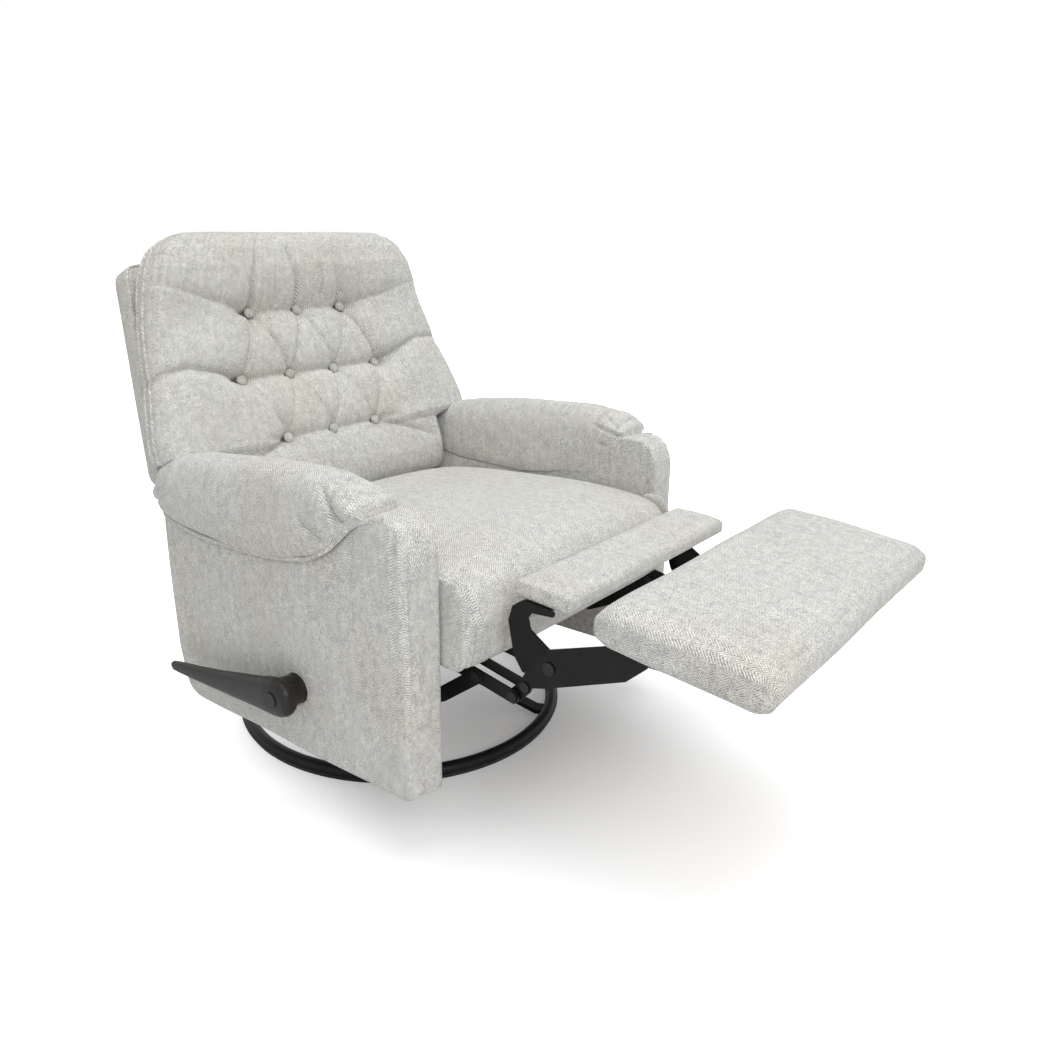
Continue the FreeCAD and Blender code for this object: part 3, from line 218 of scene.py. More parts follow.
def side_panel(side):
    """A padded slab whose top follows the seam under the arm pad."""

    def shape(a, b, c):
        outer = np.clip((a + 0.6) / 0.9, 0, 1)[:, None]
        p = (rolled(a, b, c, PANEL_HALF, (0.014, 0.024, 0.022)) * outer
             + rolled(a, b, c, PANEL_HALF, (0.004, 0.007, 0.007)) * (1 - outer))
        thick, u, v = ((p / PANEL_HALF + 1) / 2).T
        y = PANEL_FRONT + u * (np.interp(v, *PANEL_REAR) - PANEL_FRONT)
        foot = PANEL_FOOT + np.clip((u - 0.93) / 0.07, 0, 1) ** 2 * 0.018
        top = along_line(SEAM, y) - np.clip((0.06 - u) / 0.06, 0, 1) ** 2 * 0.0105
        z = foot + v * (top - foot)
        x = PANEL_INNER + thick * (PANEL_OUTER - PANEL_INNER)
        puff = thick * 0.0022 * (ripple(y, z, 16, 4) + np.sin(np.pi * np.clip(v, 0, 1)))
        line = np.exp(-((y - STITCH_LINE) / STITCH_WIDE) ** 2)
        puff = puff - np.sign(thick - 0.5) * 0.0013 * line
        top_edge = v > 0.97
        z = z - 0.002 * line * top_edge
        z = z + 0.0012 * ripple(y, x * 3, 40, 6) * top_edge
        return np.stack([side * (x + puff), y, z], axis=-1)

    return block(f"{HANDS[side]}_panel_cover", (12, 210, 110), PANEL_HALF, shape, flip=side < 0)


for side, hand in HANDS.items():
    dress(side_panel(side), "chair", f"{hand}_side_panel", fill=0.9)


# ---------------------------------------------------------------------------
# Arm pads. Each is a stuffed roll sewn along a piped seam to the top of its panel, gathered into
# darts at the front, where it turns down over the block.

def loft(name, rings, material, middle=None, smooth=(True, False)):
    """A closed skin through rings of points, with a flat face of spokes at both ends. middle is
    where the spokes meet, and smooth says if the wall and the ends are shaded smooth."""
    rings = np.asarray(rings, float)
    count, around = rings.shape[:2]
    centres = rings.mean(axis=1)
    ends = centres[[0, -1]]
    if middle is not None:
        ends[:, 1:] = middle
    points = np.concatenate([rings.reshape(-1, 3), ends])
    closed = np.concatenate([rings, rings[:, :1]], axis=1)
    lengths = np.linalg.norm(np.diff(closed, axis=1), axis=2)
    v = np.concatenate([np.zeros((count, 1)), np.cumsum(lengths, axis=1)], axis=1)
    steps = np.linalg.norm(np.diff(centres, axis=0), axis=1)
    u = np.concatenate([[0], np.cumsum(steps)])
    faces, weave = [], []
    for row in range(count - 1):
        for place in range(around):
            after = (place + 1) % around
            faces.append((row * around + place, row * around + after,
                          (row + 1) * around + after, (row + 1) * around + place))
            weave += [(u[row], v[row, place]), (u[row], v[row, place + 1]),
                      (u[row + 1], v[row + 1, place + 1]), (u[row + 1], v[row + 1, place])]
    for end, row in ((0, 0), (1, count - 1)):
        centre = count * around + end
        for place in range(around):
            after = (place + 1) % around
            spoke = (row * around + place, centre, row * around + after)
            faces.append(spoke if end == 0 else spoke[::-1])
            weave += [(0, v[row, place])] * 3
    piece = mesh_piece(name, points, faces, material, weave)
    walls = np.array([face for face in faces if len(face) == 4])
    corners = points[walls] - points.mean(axis=0)
    facing = np.cross(corners[:, 2] - corners[:, 0], corners[:, 3] - corners[:, 1])
    if np.einsum("ij,ij->", facing, corners[:, 0]) < 0:
        piece.data.flip_normals()
    wall, flat = smooth
    shading = [wall if len(face) == 4 else flat for face in faces]
    piece.data.polygons.foreach_set("use_smooth", shading)
    piece.data.update()
    return piece


def smooth_ring(corners, count):
    """A smooth closed ring of evenly spaced points through its corners."""
    corners = np.asarray(corners, float)
    before, after, later = (np.roll(corners, shift, axis=0) for shift in (1, -1, -2))
    t = np.linspace(0, 1, 12, endpoint=False)[None, :, None]
    p0, p1, p2, p3 = (part[:, None, :] for part in (before, corners, after, later))
    path = 0.5 * (2 * p1 + (p2 - p0) * t + (2 * p0 - 5 * p1 + 4 * p2 - p3) * t ** 2
                  + (3 * p1 - p0 - 3 * p2 + p3) * t ** 3)
    path = path.reshape(-1, corners.shape[1])
    closed = np.concatenate([path, path[:1]])
    far = np.concatenate([[0], np.cumsum(np.linalg.norm(np.diff(closed, axis=0), axis=1))])
    wanted = np.linspace(0, far[-1], count, endpoint=False)
    return np.stack([np.interp(wanted, far, column) for column in closed.T], axis=-1)


def fold_depth(x, z, path, first, last, width):
    """How far one fold pulls the cloth in."""
    path = np.array(path)
    runs = np.linalg.norm(np.diff(path, axis=0), axis=1)
    total, done = runs.sum(), 0.0
    best = np.full(x.shape, 1e9)
    share = np.zeros(x.shape)
    for start, end, run in zip(path[:-1], path[1:], runs):
        way = (end - start) / run
        t = np.clip((x - start[0]) * way[0] + (z - start[1]) * way[1], 0, run)
        off = np.hypot(x - start[0] - t * way[0], z - start[1] - t * way[1])
        nearer = off < best
        best = np.where(nearer, off, best)
        share = np.where(nearer, (done + t) / total, share)
        done += run
    soft = np.sqrt(best ** 2 + 0.0012 ** 2) - 0.0012
    shape = 0.52 * np.exp(-soft / width) + 0.48 * np.exp(-soft * 3.6 / width)
    return (first + (last - first) * share) * shape


ARM_MIDDLE, ARM_HALF = 0.3555, 0.0515
ARM_STATIONS = [
    # y, lowest z, highest z, how full from 0 to 1
    (0.196, 0.474, 0.512, 0.62), (0.190, 0.463, 0.527, 0.86), (0.172, 0.452, 0.546, 0.97),
    (0.135, 0.444, 0.560, 1.0), (0.080, 0.438, 0.570, 1.0), (0.0, 0.434, 0.577, 1.0),
    (-0.080, 0.436, 0.583, 1.0), (-0.150, 0.444, 0.587, 1.0), (-0.200, 0.458, 0.588, 1.0),
    (-0.238, 0.480, 0.586, 1.0), (-0.262, 0.502, 0.583, 0.99), (-0.284, 0.520, 0.577, 0.97),
    (-0.299, 0.531, 0.569, 0.94), (-0.309, 0.537, 0.560, 0.89), (-0.315, 0.540, 0.551, 0.80),
]
ARM_FOLDS = [
    # on the outer side or not, start and end of the fold as y and z, depth, width
    (True, (-0.284, 0.535), (-0.243, 0.578), 0.0150, 0.007),
    (True, (-0.272, 0.532), (-0.262, 0.585), 0.0100, 0.006),
    (True, (-0.232, 0.492), (-0.200, 0.524), 0.0130, 0.007),
    (True, (0.192, 0.475), (0.140, 0.500), 0.006, 0.007),
    (True, (0.194, 0.500), (0.150, 0.540), 0.005, 0.007),
    (False, (-0.300, 0.560), (-0.252, 0.583), 0.0100, 0.006),
    (False, (-0.304, 0.545), (-0.256, 0.556), 0.0090, 0.006),
    (False, (-0.304, 0.515), (-0.266, 0.520), 0.0070, 0.007),
    (False, (-0.304, 0.480), (-0.276, 0.476), 0.0050, 0.007),
]


def arm_pad(side):
    """The stuffed roll over one panel."""
    table = np.array(ARM_STATIONS)
    steps = np.abs(np.diff(table[:, 0])) + np.abs(np.diff(table[:, 2]))
    reach = np.concatenate([[0], np.cumsum(steps)])
    count, around = 170, 150
    rings = []
    for far in np.linspace(0, reach[-1], count):
        y, low, high, full = (np.interp(far, reach, table[:, k]) for k in range(4))
        middle, wide = ARM_MIDDLE, ARM_HALF * full
        tall = high - low
        deep = min(low, 0.448)
        sunk = 0.010 * np.clip((-0.19 - y) / 0.06, 0, 1)
        ring = smooth_ring([
            (middle - wide * 0.90, deep), (middle - wide * 0.3, deep + (low - sunk - deep) * 0.5),
            (middle + wide * 0.40, low - sunk), (middle + wide * 0.62, low + 0.002 - sunk * 0.7),
            (middle + wide * 0.87, low + tall * 0.20), (middle + wide * 0.995, low + tall * 0.47),
            (middle + wide * 0.90, low + tall * 0.75), (middle + wide * 0.60, low + tall * 0.94),
            (middle + wide * 0.10, high), (middle - wide * 0.50, low + tall * 0.97),
            (middle - wide * 0.93, low + tall * 0.72), (middle - wide * 1.04, low + tall * 0.36),
            (middle - wide * 1.03, deep + (low - deep) * 0.5 + 0.012),
        ], around)
        rings.append(np.stack([side * ring[:, 0], np.full(around, y), ring[:, 1]], axis=-1))
    rings = np.array(rings)
    x, y, z = rings[:, :, 0], rings[:, :, 1], rings[:, :, 2]
    outer = np.abs(x) > ARM_MIDDLE
    depth = np.zeros(y.shape)
    for outside, start, end, first, width in ARM_FOLDS:
        crease = fold_depth(y, z, [start, end], first, first * 0.55, width)
        depth += np.where(outer == outside, crease, 0)
    turn = np.linspace(0, 1, around, endpoint=False)
    depth += 0.0022 * ripple(y, np.broadcast_to(turn * 0.35, y.shape), 26, 8 + side)
    inward = rings.mean(axis=1, keepdims=True) - rings
    inward[:, :, 1] = 0
    inward /= np.maximum(np.linalg.norm(inward, axis=2, keepdims=True), 1e-6)
    return loft(f"{HANDS[side]}_arm_roll", rings + inward * depth[:, :, None], cover)


def plain_copy(name, holder):
    """What a curve or a node group makes, as a plain smooth mesh in its place."""
    graph = bpy.context.evaluated_depsgraph_get()
    mesh = bpy.data.meshes.new_from_object(holder.evaluated_get(graph))
    bpy.data.objects.remove(holder)
    mesh.name = name
    mesh.polygons.foreach_set("use_smooth", [True] * len(mesh.polygons))
    return placed(name, mesh)


def piping(name, path, radius, body, closed=False):
    """A cord in the same cloth, sewn on along a path."""
    curve = bpy.data.curves.new(name, "CURVE")
    curve.dimensions = "3D"
    spline = curve.splines.new("POLY")
    spline.points.add(len(path) - 1)
    spline.points.foreach_set("co", np.c_[path, np.ones(len(path))].ravel())
    spline.use_cyclic_u = closed
    curve.bevel_depth = radius
    curve.bevel_resolution = 3
    curve.use_fill_caps = not closed
    piece = plain_copy(name, placed(name, curve))
    mesh = piece.data
    mesh.materials.clear()
    mesh.materials.append(cover)
    weave = mesh.uv_layers.new(name="weave")
    points = np.array([mesh.vertices[loop.vertex_index].co[:] for loop in mesh.loops])
    flat = (points[:, (1, 2)] + points[:, (0, 0)]).astype(np.float32)
    weave.data.foreach_set("uv", flat.ravel())
    dress(piece, body)


def eased(line, count, passes):
    """A drawn line laid out afresh in that many points, its corners eased by each pass."""
    line = np.array(line)
    fine = np.linspace(0, len(line) - 1, count)
    path = np.stack([np.interp(fine, range(len(line)), column) for column in line.T], axis=-1)
    for _ in range(passes):
        path[1:-1] = (path[:-2] + path[1:-1] + path[2:]) / 3
    return path


# The welt turns in under the pad towards both ends of the seam, and its bare ends are cut off.
WELT_POINTS, REAR_TURN, FRONT_TURN = 160, 14, 96
WELT_KEPT = slice(7, 124)
for side, hand in HANDS.items():
    dress(arm_pad(side), "chair", f"{hand}_arm_pad", fill=0.8)
    y, z = eased(SEAM, WELT_POINTS, 6).T
    path = np.stack([np.full(WELT_POINTS, side * (PANEL_OUTER + 0.0038)), y, z - 0.0070], axis=-1)
    path[FRONT_TURN:, 0] -= side * np.linspace(0, 0.034, WELT_POINTS - FRONT_TURN)
    path[FRONT_TURN:, 2] += np.linspace(0, 0.0095, WELT_POINTS - FRONT_TURN)
    path[:REAR_TURN, 0] -= side * np.linspace(0.016, 0, REAR_TURN)
    piping(f"{hand}_arm_welt", path[WELT_KEPT], 0.0043, "chair")


# ---------------------------------------------------------------------------
# Seat cushion. A crowned pad over the springs that rolls down over the front rail, with a
# gusset seam along each side.

SEAT_HALF = 0.299


def seat_pad():
    """The seat's skin, drawn as side views from one side to the other."""
    around, edge_start = 230, 0.955
    close = np.array([0.97, 0.982, 0.992, 0.998, 1.0])
    places = np.concatenate([-close[::-1], np.linspace(-edge_start, edge_start, 190), close])
    rings = []
    for place in places:
        edge = abs(place)
        rim = np.clip((edge - edge_start) / 0.045, 0, 1)
        tuck = 1 - math.sqrt(max(0.0, 1 - rim ** 2))
        crown = 0.462 - 0.026 * edge ** 3.2 - 0.022 * tuck
        nose = 0.010 * edge ** 6 + 0.014 * tuck
        seam = 0.0040 * math.exp(-abs(edge - 0.945) / 0.005)
        crown -= seam
        nose += seam
        wrap = np.clip((edge - 0.91) / 0.03, 0, 1)
        ring = smooth_ring([
            (-0.4262 + 0.022 * wrap, 0.312 + 0.008 * tuck), (-0.434 + nose, 0.3095 + 0.008 * tuck),
            (-0.4435 + nose, 0.322), (-0.4495 + nose, 0.346), (-0.4510 + nose, 0.380),
            (-0.4455 + nose, crown - 0.050), (-0.426 + nose, crown - 0.020),
            (-0.385 + nose * 0.6, crown - 0.002), (-0.310, crown + 0.005), (-0.200, crown + 0.005),
            (-0.090, crown - 0.001), (0.010, crown - 0.009), (0.080, crown - 0.018),
            (0.108 - 0.01 * tuck, crown - 0.036), (0.112 - 0.01 * tuck, 0.392), (0.100, 0.376),
            (0.0, 0.3755), (-0.150, 0.3755), (-0.280, 0.3755),
            (-0.400 + 0.035 * wrap, 0.3755 - 0.045 * wrap),
            (-0.4245 + 0.033 * wrap, 0.368 - 0.054 * wrap),
            (-0.4258 + 0.026 * wrap, 0.345 - 0.033 * wrap),
        ], around)
        x = np.full(around, place * SEAT_HALF)
        rings.append(np.stack([x, ring[:, 0], ring[:, 1]], axis=-1))
    rings = np.array(rings)
    x, y, z = rings[..., 0], rings[..., 1], rings[..., 2]
    top = np.clip((z - 0.42) / 0.02, 0, 1)
    face = np.clip((-0.43 - y) / 0.01, 0, 1)
    rings[..., 2] = z + top * 0.0022 * ripple(x, y, 20, 3)
    rings[..., 1] = y + face * (1 - top) * 0.0018 * ripple(x, z, 26, 5)
    return loft("seat_cover", rings, cover, middle=(-0.418, 0.400))


dress(seat_pad(), "chair", "seat_cushion", fill=0.8)


def seat_gusset(side):
    """The boxed end of the seat, in front of the arm panel."""
    half = (0.0045, 0.031, 0.0690)

    def shape(a, b, c):
        p = rolled(a, b, c, half, (0.004, 0.022, 0.026))
        y = -0.4015 + p[:, 1] + 0.006 * np.clip(-b, 0, 1) * np.clip(c, 0, 1) ** 3
        z = 0.3725 + p[:, 2] + 0.004 * np.clip(b, 0, 1) * np.clip(c, 0, 1)
        x = 0.2965 + p[:, 0] + 0.0012 * ripple(y, z, 60, 17)
        return np.stack([side * x, y, z], axis=-1)

    return block(f"{HANDS[side]}_seat_gusset", (4, 30, 44), half, shape, flip=side < 0)


for side in HANDS:
    dress(seat_gusset(side), "chair", fill=0.9)


# ---------------------------------------------------------------------------
# Back. Everything on it is drawn upright about the heads of the recline links and leaned back
# with the frame. The shell behind is a flat padded box with a sewn edge on both faces.

BACK_AT, BACK_TILT = Vector((0, 0.1006984, 0.3550967)), math.radians(-21.5)
SHELL_FRONT, SHELL_REAR = 0.0390, 0.0885
SHELL_HALF, SHELL_CLOTH = (0.372, 0.02475, 0.199), (0.372, 0.025, 0.199)


def lean_back(points):
    """Points of the back's own upright drawing, leaned to their place."""
    turn = np.array(Matrix.Rotation(BACK_TILT, 3, "X"))
    return points @ turn.T + np.array(BACK_AT)


def shell_shape(a, b, c):
    """The shell narrows to the top and has round upper corners."""
    p = rolled(a, b, c, SHELL_HALF, (0.028, 0.009, 0.028))
    z = 0.369 + p[:, 2]
    wide = np.interp(z, [0.170, 0.568], [0.373, 0.316])
    y = 0.5 * (SHELL_FRONT + SHELL_REAR) + p[:, 1]
    behind = np.clip((b + 1) / 2, 0, 1)
    y = y + behind * 0.003 * (1 - a ** 2) * (1 - c ** 2)
    y = y + behind * 0.0012 * ripple(p[:, 0], z, 14, 9)
    return lean_back(np.stack([p[:, 0] / SHELL_HALF[0] * wide, y, z], axis=-1))


def edge_places(foot, up, across):
    """Places on the cube's edge: up one side from the foot, across the top and down again."""
    return ([(-1, t) for t in np.linspace(foot, 1, up)]
            + [(t, 1) for t in np.linspace(-1, 1, across)[1:]]
            + [(1, t) for t in np.linspace(1, foot, up)[1:]])


def along_edge(shape, places, depth):
    """The line through those places on a shaped piece, at one depth from front to rear."""
    across, up = np.array(places).T
    return shape(across, np.full(len(places), depth), up)


shell = block("back_shell_cover", (110, 12, 70), SHELL_CLOTH, shell_shape)
dress(shell, "back", "back_shell", fill=0.95)
shell_edge = edge_places(-1, 60, 90) + [(t, -1) for t in np.linspace(1, -1, 90)[1:-1]]
for name, depth in (("shell_front_welt", -0.86), ("shell_rear_welt", 0.86)):
    piping(name, along_edge(shell_shape, shell_edge, depth), 0.0028, "back", closed=True)


# ---------------------------------------------------------------------------
# Back cushion. A stuffed cover with a head roll, tufted by ten covered buttons in three rows.
# The twine behind each button pulls a deep dimple, and folds run from button to button.

BACK_FLAT = 0.0385
CUSHION_HALF, CUSHION_CLOTH = (0.39, 0.045, 0.2640), (0.39, 0.05, 0.26)
CUSHION_FACE = (
    # heights, and the depth of the cloth there before it is tufted
    [0.070, 0.12, 0.20, 0.33, 0.44, 0.462, 0.49, 0.525, 0.56, 0.60],
    [-0.014, -0.026, -0.030, -0.030, -0.031, -0.036, -0.048, -0.058, -0.058, -0.048],
)
CUSHION_WINGS = (
    # heights, and half of the width there over the arms
    [0.19, 0.236, 0.30, 0.372, 0.44, 0.500, 0.530, 0.551, 0.570, 0.583, 0.592, 0.599],
    [0.392, 0.389, 0.374, 0.358, 0.342, 0.327, 0.317, 0.304, 0.288, 0.272, 0.257, 0.238],
)
BETWEEN_ARMS = 0.291
BUTTON_ROWS = [
    # height, places across, depth of the cloth at the button
    (0.202, (-0.115, 0.0, 0.115), 0.0030),
    (0.3255, (-0.172, -0.057, 0.057, 0.172), 0.0150),
    (0.450, (-0.115, 0.0, 0.115), 0.0075),
]
FOLDS = [
    # path of the fold across and up, depth at its start and end, width
    ([(-0.172, 0.326), (-0.233, 0.344), (-0.290, 0.356), (-0.345, 0.350), (-0.372, 0.338)],
     0.030, 0.012, 0.013),
    ([(0.172, 0.326), (0.227, 0.343), (0.295, 0.364), (0.350, 0.362)], 0.030, 0.012, 0.013),
    ([(-0.115, 0.450), (-0.200, 0.470), (-0.285, 0.494), (-0.320, 0.500)], 0.020, 0.004, 0.012),
    ([(0.115, 0.450), (0.205, 0.462), (0.300, 0.482)], 0.020, 0.004, 0.012),
    ([(0.115, 0.202), (0.180, 0.175), (0.262, 0.140)], 0.018, 0.004, 0.012),
    ([(-0.115, 0.202), (-0.185, 0.178), (-0.270, 0.150)], 0.018, 0.004, 0.012),
    ([(-0.115, 0.455), (-0.114, 0.500), (-0.094, 0.566)], 0.026, 0.005, 0.009),
    ([(-0.004, 0.455), (-0.010, 0.500), (-0.030, 0.560)], 0.022, 0.005, 0.008),
    ([(0.112, 0.455), (0.096, 0.500), (0.088, 0.562)], 0.022, 0.003, 0.009),
    ([(-0.262, 0.598), (-0.240, 0.560)], 0.010, 0.002, 0.006),
    ([(-0.302, 0.560), (-0.272, 0.535)], 0.009, 0.002, 0.006),
    ([(0.262, 0.598), (0.242, 0.562)], 0.007, 0.002, 0.006),
    ([(-0.060, 0.462), (-0.064, 0.520)], 0.011, 0.002, 0.008),
    ([(0.058, 0.462), (0.046, 0.525)], 0.010, 0.002, 0.008),
    ([(-0.115, 0.450), (-0.172, 0.326)], 0.014, 0.014, 0.009),
    ([(-0.115, 0.450), (-0.057, 0.326)], 0.012, 0.012, 0.009),
    ([(0.0, 0.450), (-0.057, 0.326)], 0.012, 0.012, 0.009),
    ([(0.0, 0.450), (0.057, 0.326)], 0.009, 0.009, 0.010),
    ([(0.115, 0.450), (0.057, 0.326)], 0.009, 0.009, 0.010),
    ([(0.115, 0.450), (0.172, 0.326)], 0.016, 0.016, 0.009),
    ([(-0.172, 0.326), (-0.115, 0.202)], 0.009, 0.009, 0.010),
    ([(-0.057, 0.326), (-0.115, 0.202)], 0.008, 0.008, 0.010),
    ([(-0.057, 0.326), (0.0, 0.202)], 0.008, 0.008, 0.010),
    ([(0.057, 0.326), (0.0, 0.202)], 0.008, 0.008, 0.010),
    ([(0.057, 0.326), (0.115, 0.202)], 0.008, 0.008, 0.010),
    ([(0.172, 0.326), (0.115, 0.202)], 0.009, 0.009, 0.010),
    ([(-0.115, 0.202), (-0.130, 0.140)], 0.008, 0.0, 0.010),
    ([(0.0, 0.202), (0.005, 0.130)], 0.008, 0.0, 0.010),
    ([(0.115, 0.202), (0.120, 0.140)], 0.008, 0.0, 0.010),
]


def soft_step(share):
    """A share held between 0 and 1, without a corner at either end."""
    share = np.clip(share, 0, 1)
    return share * share * (3 - 2 * share)


def cushion_front(x, z):
    """Depth of the cushion's face before it is rolled over at the edges."""
    face = np.interp(z, *CUSHION_FACE)
    for height, places, at in BUTTON_ROWS:
        deep = at - np.interp(height, *CUSHION_FACE)
        reach = soft_step((max(places) + 0.085 - np.abs(x)) / 0.085)
        off = np.sqrt((z - height) ** 2 + 0.002 ** 2) - 0.002
        groove = 0.33 * np.exp(-off / 0.030) + 0.20 * np.exp(-off / 0.0045)
        face = face + deep * groove * reach
        for place in places:
            near = np.maximum(np.hypot(x - place, z - height) - 0.010, 0)
            dimple = 0.26 * np.exp(-near / 0.026) + 0.10 * np.exp(-near / 0.007)
            face = face + deep * dimple
    pull = 0
    for fold in FOLDS:
        pull = np.maximum(pull, fold_depth(x, z, *fold))
    return face + pull * 0.9


def cushion_half(z):
    """Half of the cushion's width at each height, with the wings over the arms."""
    wide = np.interp(z, *CUSHION_WINGS)
    return BETWEEN_ARMS + (wide - BETWEEN_ARMS) * soft_step((z - 0.180) / 0.022)


def cushion_shape(a, b, c):
    """The cube's points on the tufted cushion."""
    p = rolled(a, b, c, CUSHION_HALF, (0.034, 0.030, 0.026))
    across = p[:, 0] / CUSHION_HALF[0]
    z = 0.3350 + p[:, 2]
    x = across * cushion_half(z)
    tail = np.clip((0.17 - z) / 0.09, 0, 1)
    front = cushion_front(x, z) + 0.004 * np.abs(across) ** 5 + 0.0022 * ripple(x, z, 24, 12)
    front = front + 0.001 * ripple(x, z, 60, 14) + 0.008 * tail ** 2
    share = (1 - p[:, 1] / CUSHION_HALF[1]) / 2
    y = BACK_FLAT - share * (BACK_FLAT - front)
    pinch = np.exp(-np.abs(z - 0.343) / 0.012) * 0.008 * np.sign(x)
    pinch = pinch * np.clip(np.abs(a) * 8 - 7, 0, 1)
    return lean_back(np.stack([x - pinch, y, z], axis=-1))


cushion = block("back_cushion_cover", (290, 24, 210), CUSHION_CLOTH, cushion_shape)
dress(cushion, "back", "back_cushion", fill=0.85)
cushion_edge = edge_places(-0.52, 90, 120)
for name, depth in (("cushion_front_welt", -0.20), ("cushion_rear_welt", 0.35)):
    piping(name, along_edge(cushion_shape, cushion_edge, depth), 0.0030, "back")


# ---------------------------------------------------------------------------
# Covered buttons and stitches. Each button is a domed shell wrapped in the same cloth, at the
# bottom of its dimple. Rows of thread hold the welts. Both are set out on points of the cushion.

def repeated(name, spots, turns, unit, material):
    """One small part set at each spot with its turn, as a single plain mesh."""
    mesh = bpy.data.meshes.new(name)
    mesh.from_pydata([tuple(spot) for spot in spots], [], [])
    layer = mesh.attributes.new("turn", "FLOAT_VECTOR", "POINT")
    layer.data.foreach_set("vector", np.asarray(turns, dtype=np.float32).ravel())
    holder = placed(name, mesh)
    tree = bpy.data.node_groups.new(name, "GeometryNodeTree")
    socket = tree.interface.new_socket
    socket("Geometry", in_out="INPUT", socket_type="NodeSocketGeometry")
    part = socket("Part", in_out="INPUT", socket_type="NodeSocketObject")
    socket("Geometry", in_out="OUTPUT", socket_type="NodeSocketGeometry")
    node, *_ = wiring(tree)
    source = node("NodeGroupInput").outputs
    shape = node("GeometryNodeObjectInfo", {"Object": source["Part"]}).outputs["Geometry"]
    facing = node("GeometryNodeInputNamedAttribute", {"Name": "turn"}, data_type="FLOAT_VECTOR")
    turned = node("FunctionNodeEulerToRotation", {0: facing.outputs["Attribute"]}).outputs[0]
    copies = node("GeometryNodeInstanceOnPoints", {
        "Points": source["Geometry"], "Instance": shape, "Rotation": turned}).outputs[0]
    real = node("GeometryNodeRealizeInstances", {0: copies}).outputs[0]
    finish = node("GeometryNodeSetMaterial", {"Geometry": real, "Material": material}).outputs[0]
    node("NodeGroupOutput", {0: finish})
    layout = holder.modifiers.new("set_out", "NODES")
    layout.node_group = tree
    layout[part.identifier] = unit
    piece = plain_copy(name, holder)
    bpy.data.objects.remove(unit)
    return piece


def turned_part(name, profile, sides, axis, material):
    """A small closed part, its outline turned about an axis."""
    ring = np.linspace(0, 2 * math.pi, sides, endpoint=False)
    points, faces = [(0.0, 0.0, profile[0][1])], []
    for radius, high in profile[1:-1]:
        points += [(radius * math.cos(turn), radius * math.sin(turn), high) for turn in ring]
    points.append((0.0, 0.0, profile[-1][1]))
    rows = len(profile) - 2
    for k in range(sides):
        after = (k + 1) % sides
        faces.append((0, 1 + after, 1 + k))
        for row in range(rows - 1):
            low, high = 1 + row * sides, 1 + (row + 1) * sides
            faces.append((low + k, low + after, high + after, high + k))
        last = 1 + (rows - 1) * sides
        faces.append((last + k, last + after, 1 + rows * sides))
    points = np.array(points)
    if axis == "Y":
        points = points[:, (1, 2, 0)]
    weave = [(points[index][0] * 1.6, points[index][2] * 1.6) for face in faces for index in face]
    return mesh_piece(name, points, faces, material, weave)


BUTTON_OUTLINE = [(0.0, -0.0066), (0.0030, -0.0065), (0.0062, -0.0056), (0.0088, -0.0036),
                  (0.0103, -0.0006), (0.0104, 0.0012), (0.0086, 0.0030), (0.0, 0.0034)]
BUTTON_SUNK = 0.0072
spots = np.array([(place, at - BUTTON_SUNK, height) for height, places, at in BUTTON_ROWS
                  for place in places])
button = turned_part("button", BUTTON_OUTLINE, 26, "Y", cover)
lean = np.tile([BACK_TILT, 0, 0], (len(spots), 1))
buttons = repeated("covered_buttons", lean_back(spots), lean, button, cover)
dress(buttons, "back", "back_buttons")

STITCH_OUTLINE = [(0.0, -0.0022), (0.0004, -0.0019), (0.0006, 0.0), (0.0004, 0.0019), (0.0, 0.0022)]
STITCH_PITCH = 0.0068
thread = chenille("grey_thread", (0.56, 0.55, 0.52), (0.36, 0.35, 0.33), columns=0.002, stain=0.1)


def thread_row(name, path):
    """A row of stitches along a path, each turned the way that the path runs."""
    runs = np.linalg.norm(np.diff(path, axis=0), axis=1)
    far = np.concatenate([[0], np.cumsum(runs)])
    wanted = np.arange(STITCH_PITCH, far[-1], STITCH_PITCH)
    spots, ahead = (np.stack([np.interp(at, far, column) for column in path.T], axis=-1)
                    for at in (wanted, wanted + 0.002))
    turns = [tuple(Vector(way).to_track_quat("Z", "Y").to_euler()) for way in ahead - spots]
    stitch = turned_part("stitch", STITCH_OUTLINE, 6, "Z", thread)
    dress(repeated(name, spots, turns, stitch, thread), "back")


for name, depth in (("cushion_front_stitches", -0.52), ("cushion_rear_stitches", 0.62)):
    thread_row(name, along_edge(cushion_shape, cushion_edge, depth))


# ---------------------------------------------------------------------------
# Footrest and filler pad. Each is a hardwood board under a layer of foam, wrapped in the same
# cloth with the herringbone running across it and screwed to its steel brackets.

FOOT_AT, FOOT_TILT = np.array([0, -0.690, 0.395]), math.radians(6.6)
FOOT_HALF = (0.303, 0.118, 0.0285)
FILLER_AT, FILLER_TILT = np.array([0, -0.547, 0.333]), math.radians(4)
FILLER_HALF = (0.2385, 0.0485, 0.0125)


def tilted(points, at, tilt):
    """Points drawn level about a pivot, turned to their tilt."""
    y, z = points[:, 1], points[:, 2]
    turned = np.stack([points[:, 0], y * math.cos(tilt) - z * math.sin(tilt),
                       y * math.sin(tilt) + z * math.cos(tilt)], axis=-1)
    return turned + at


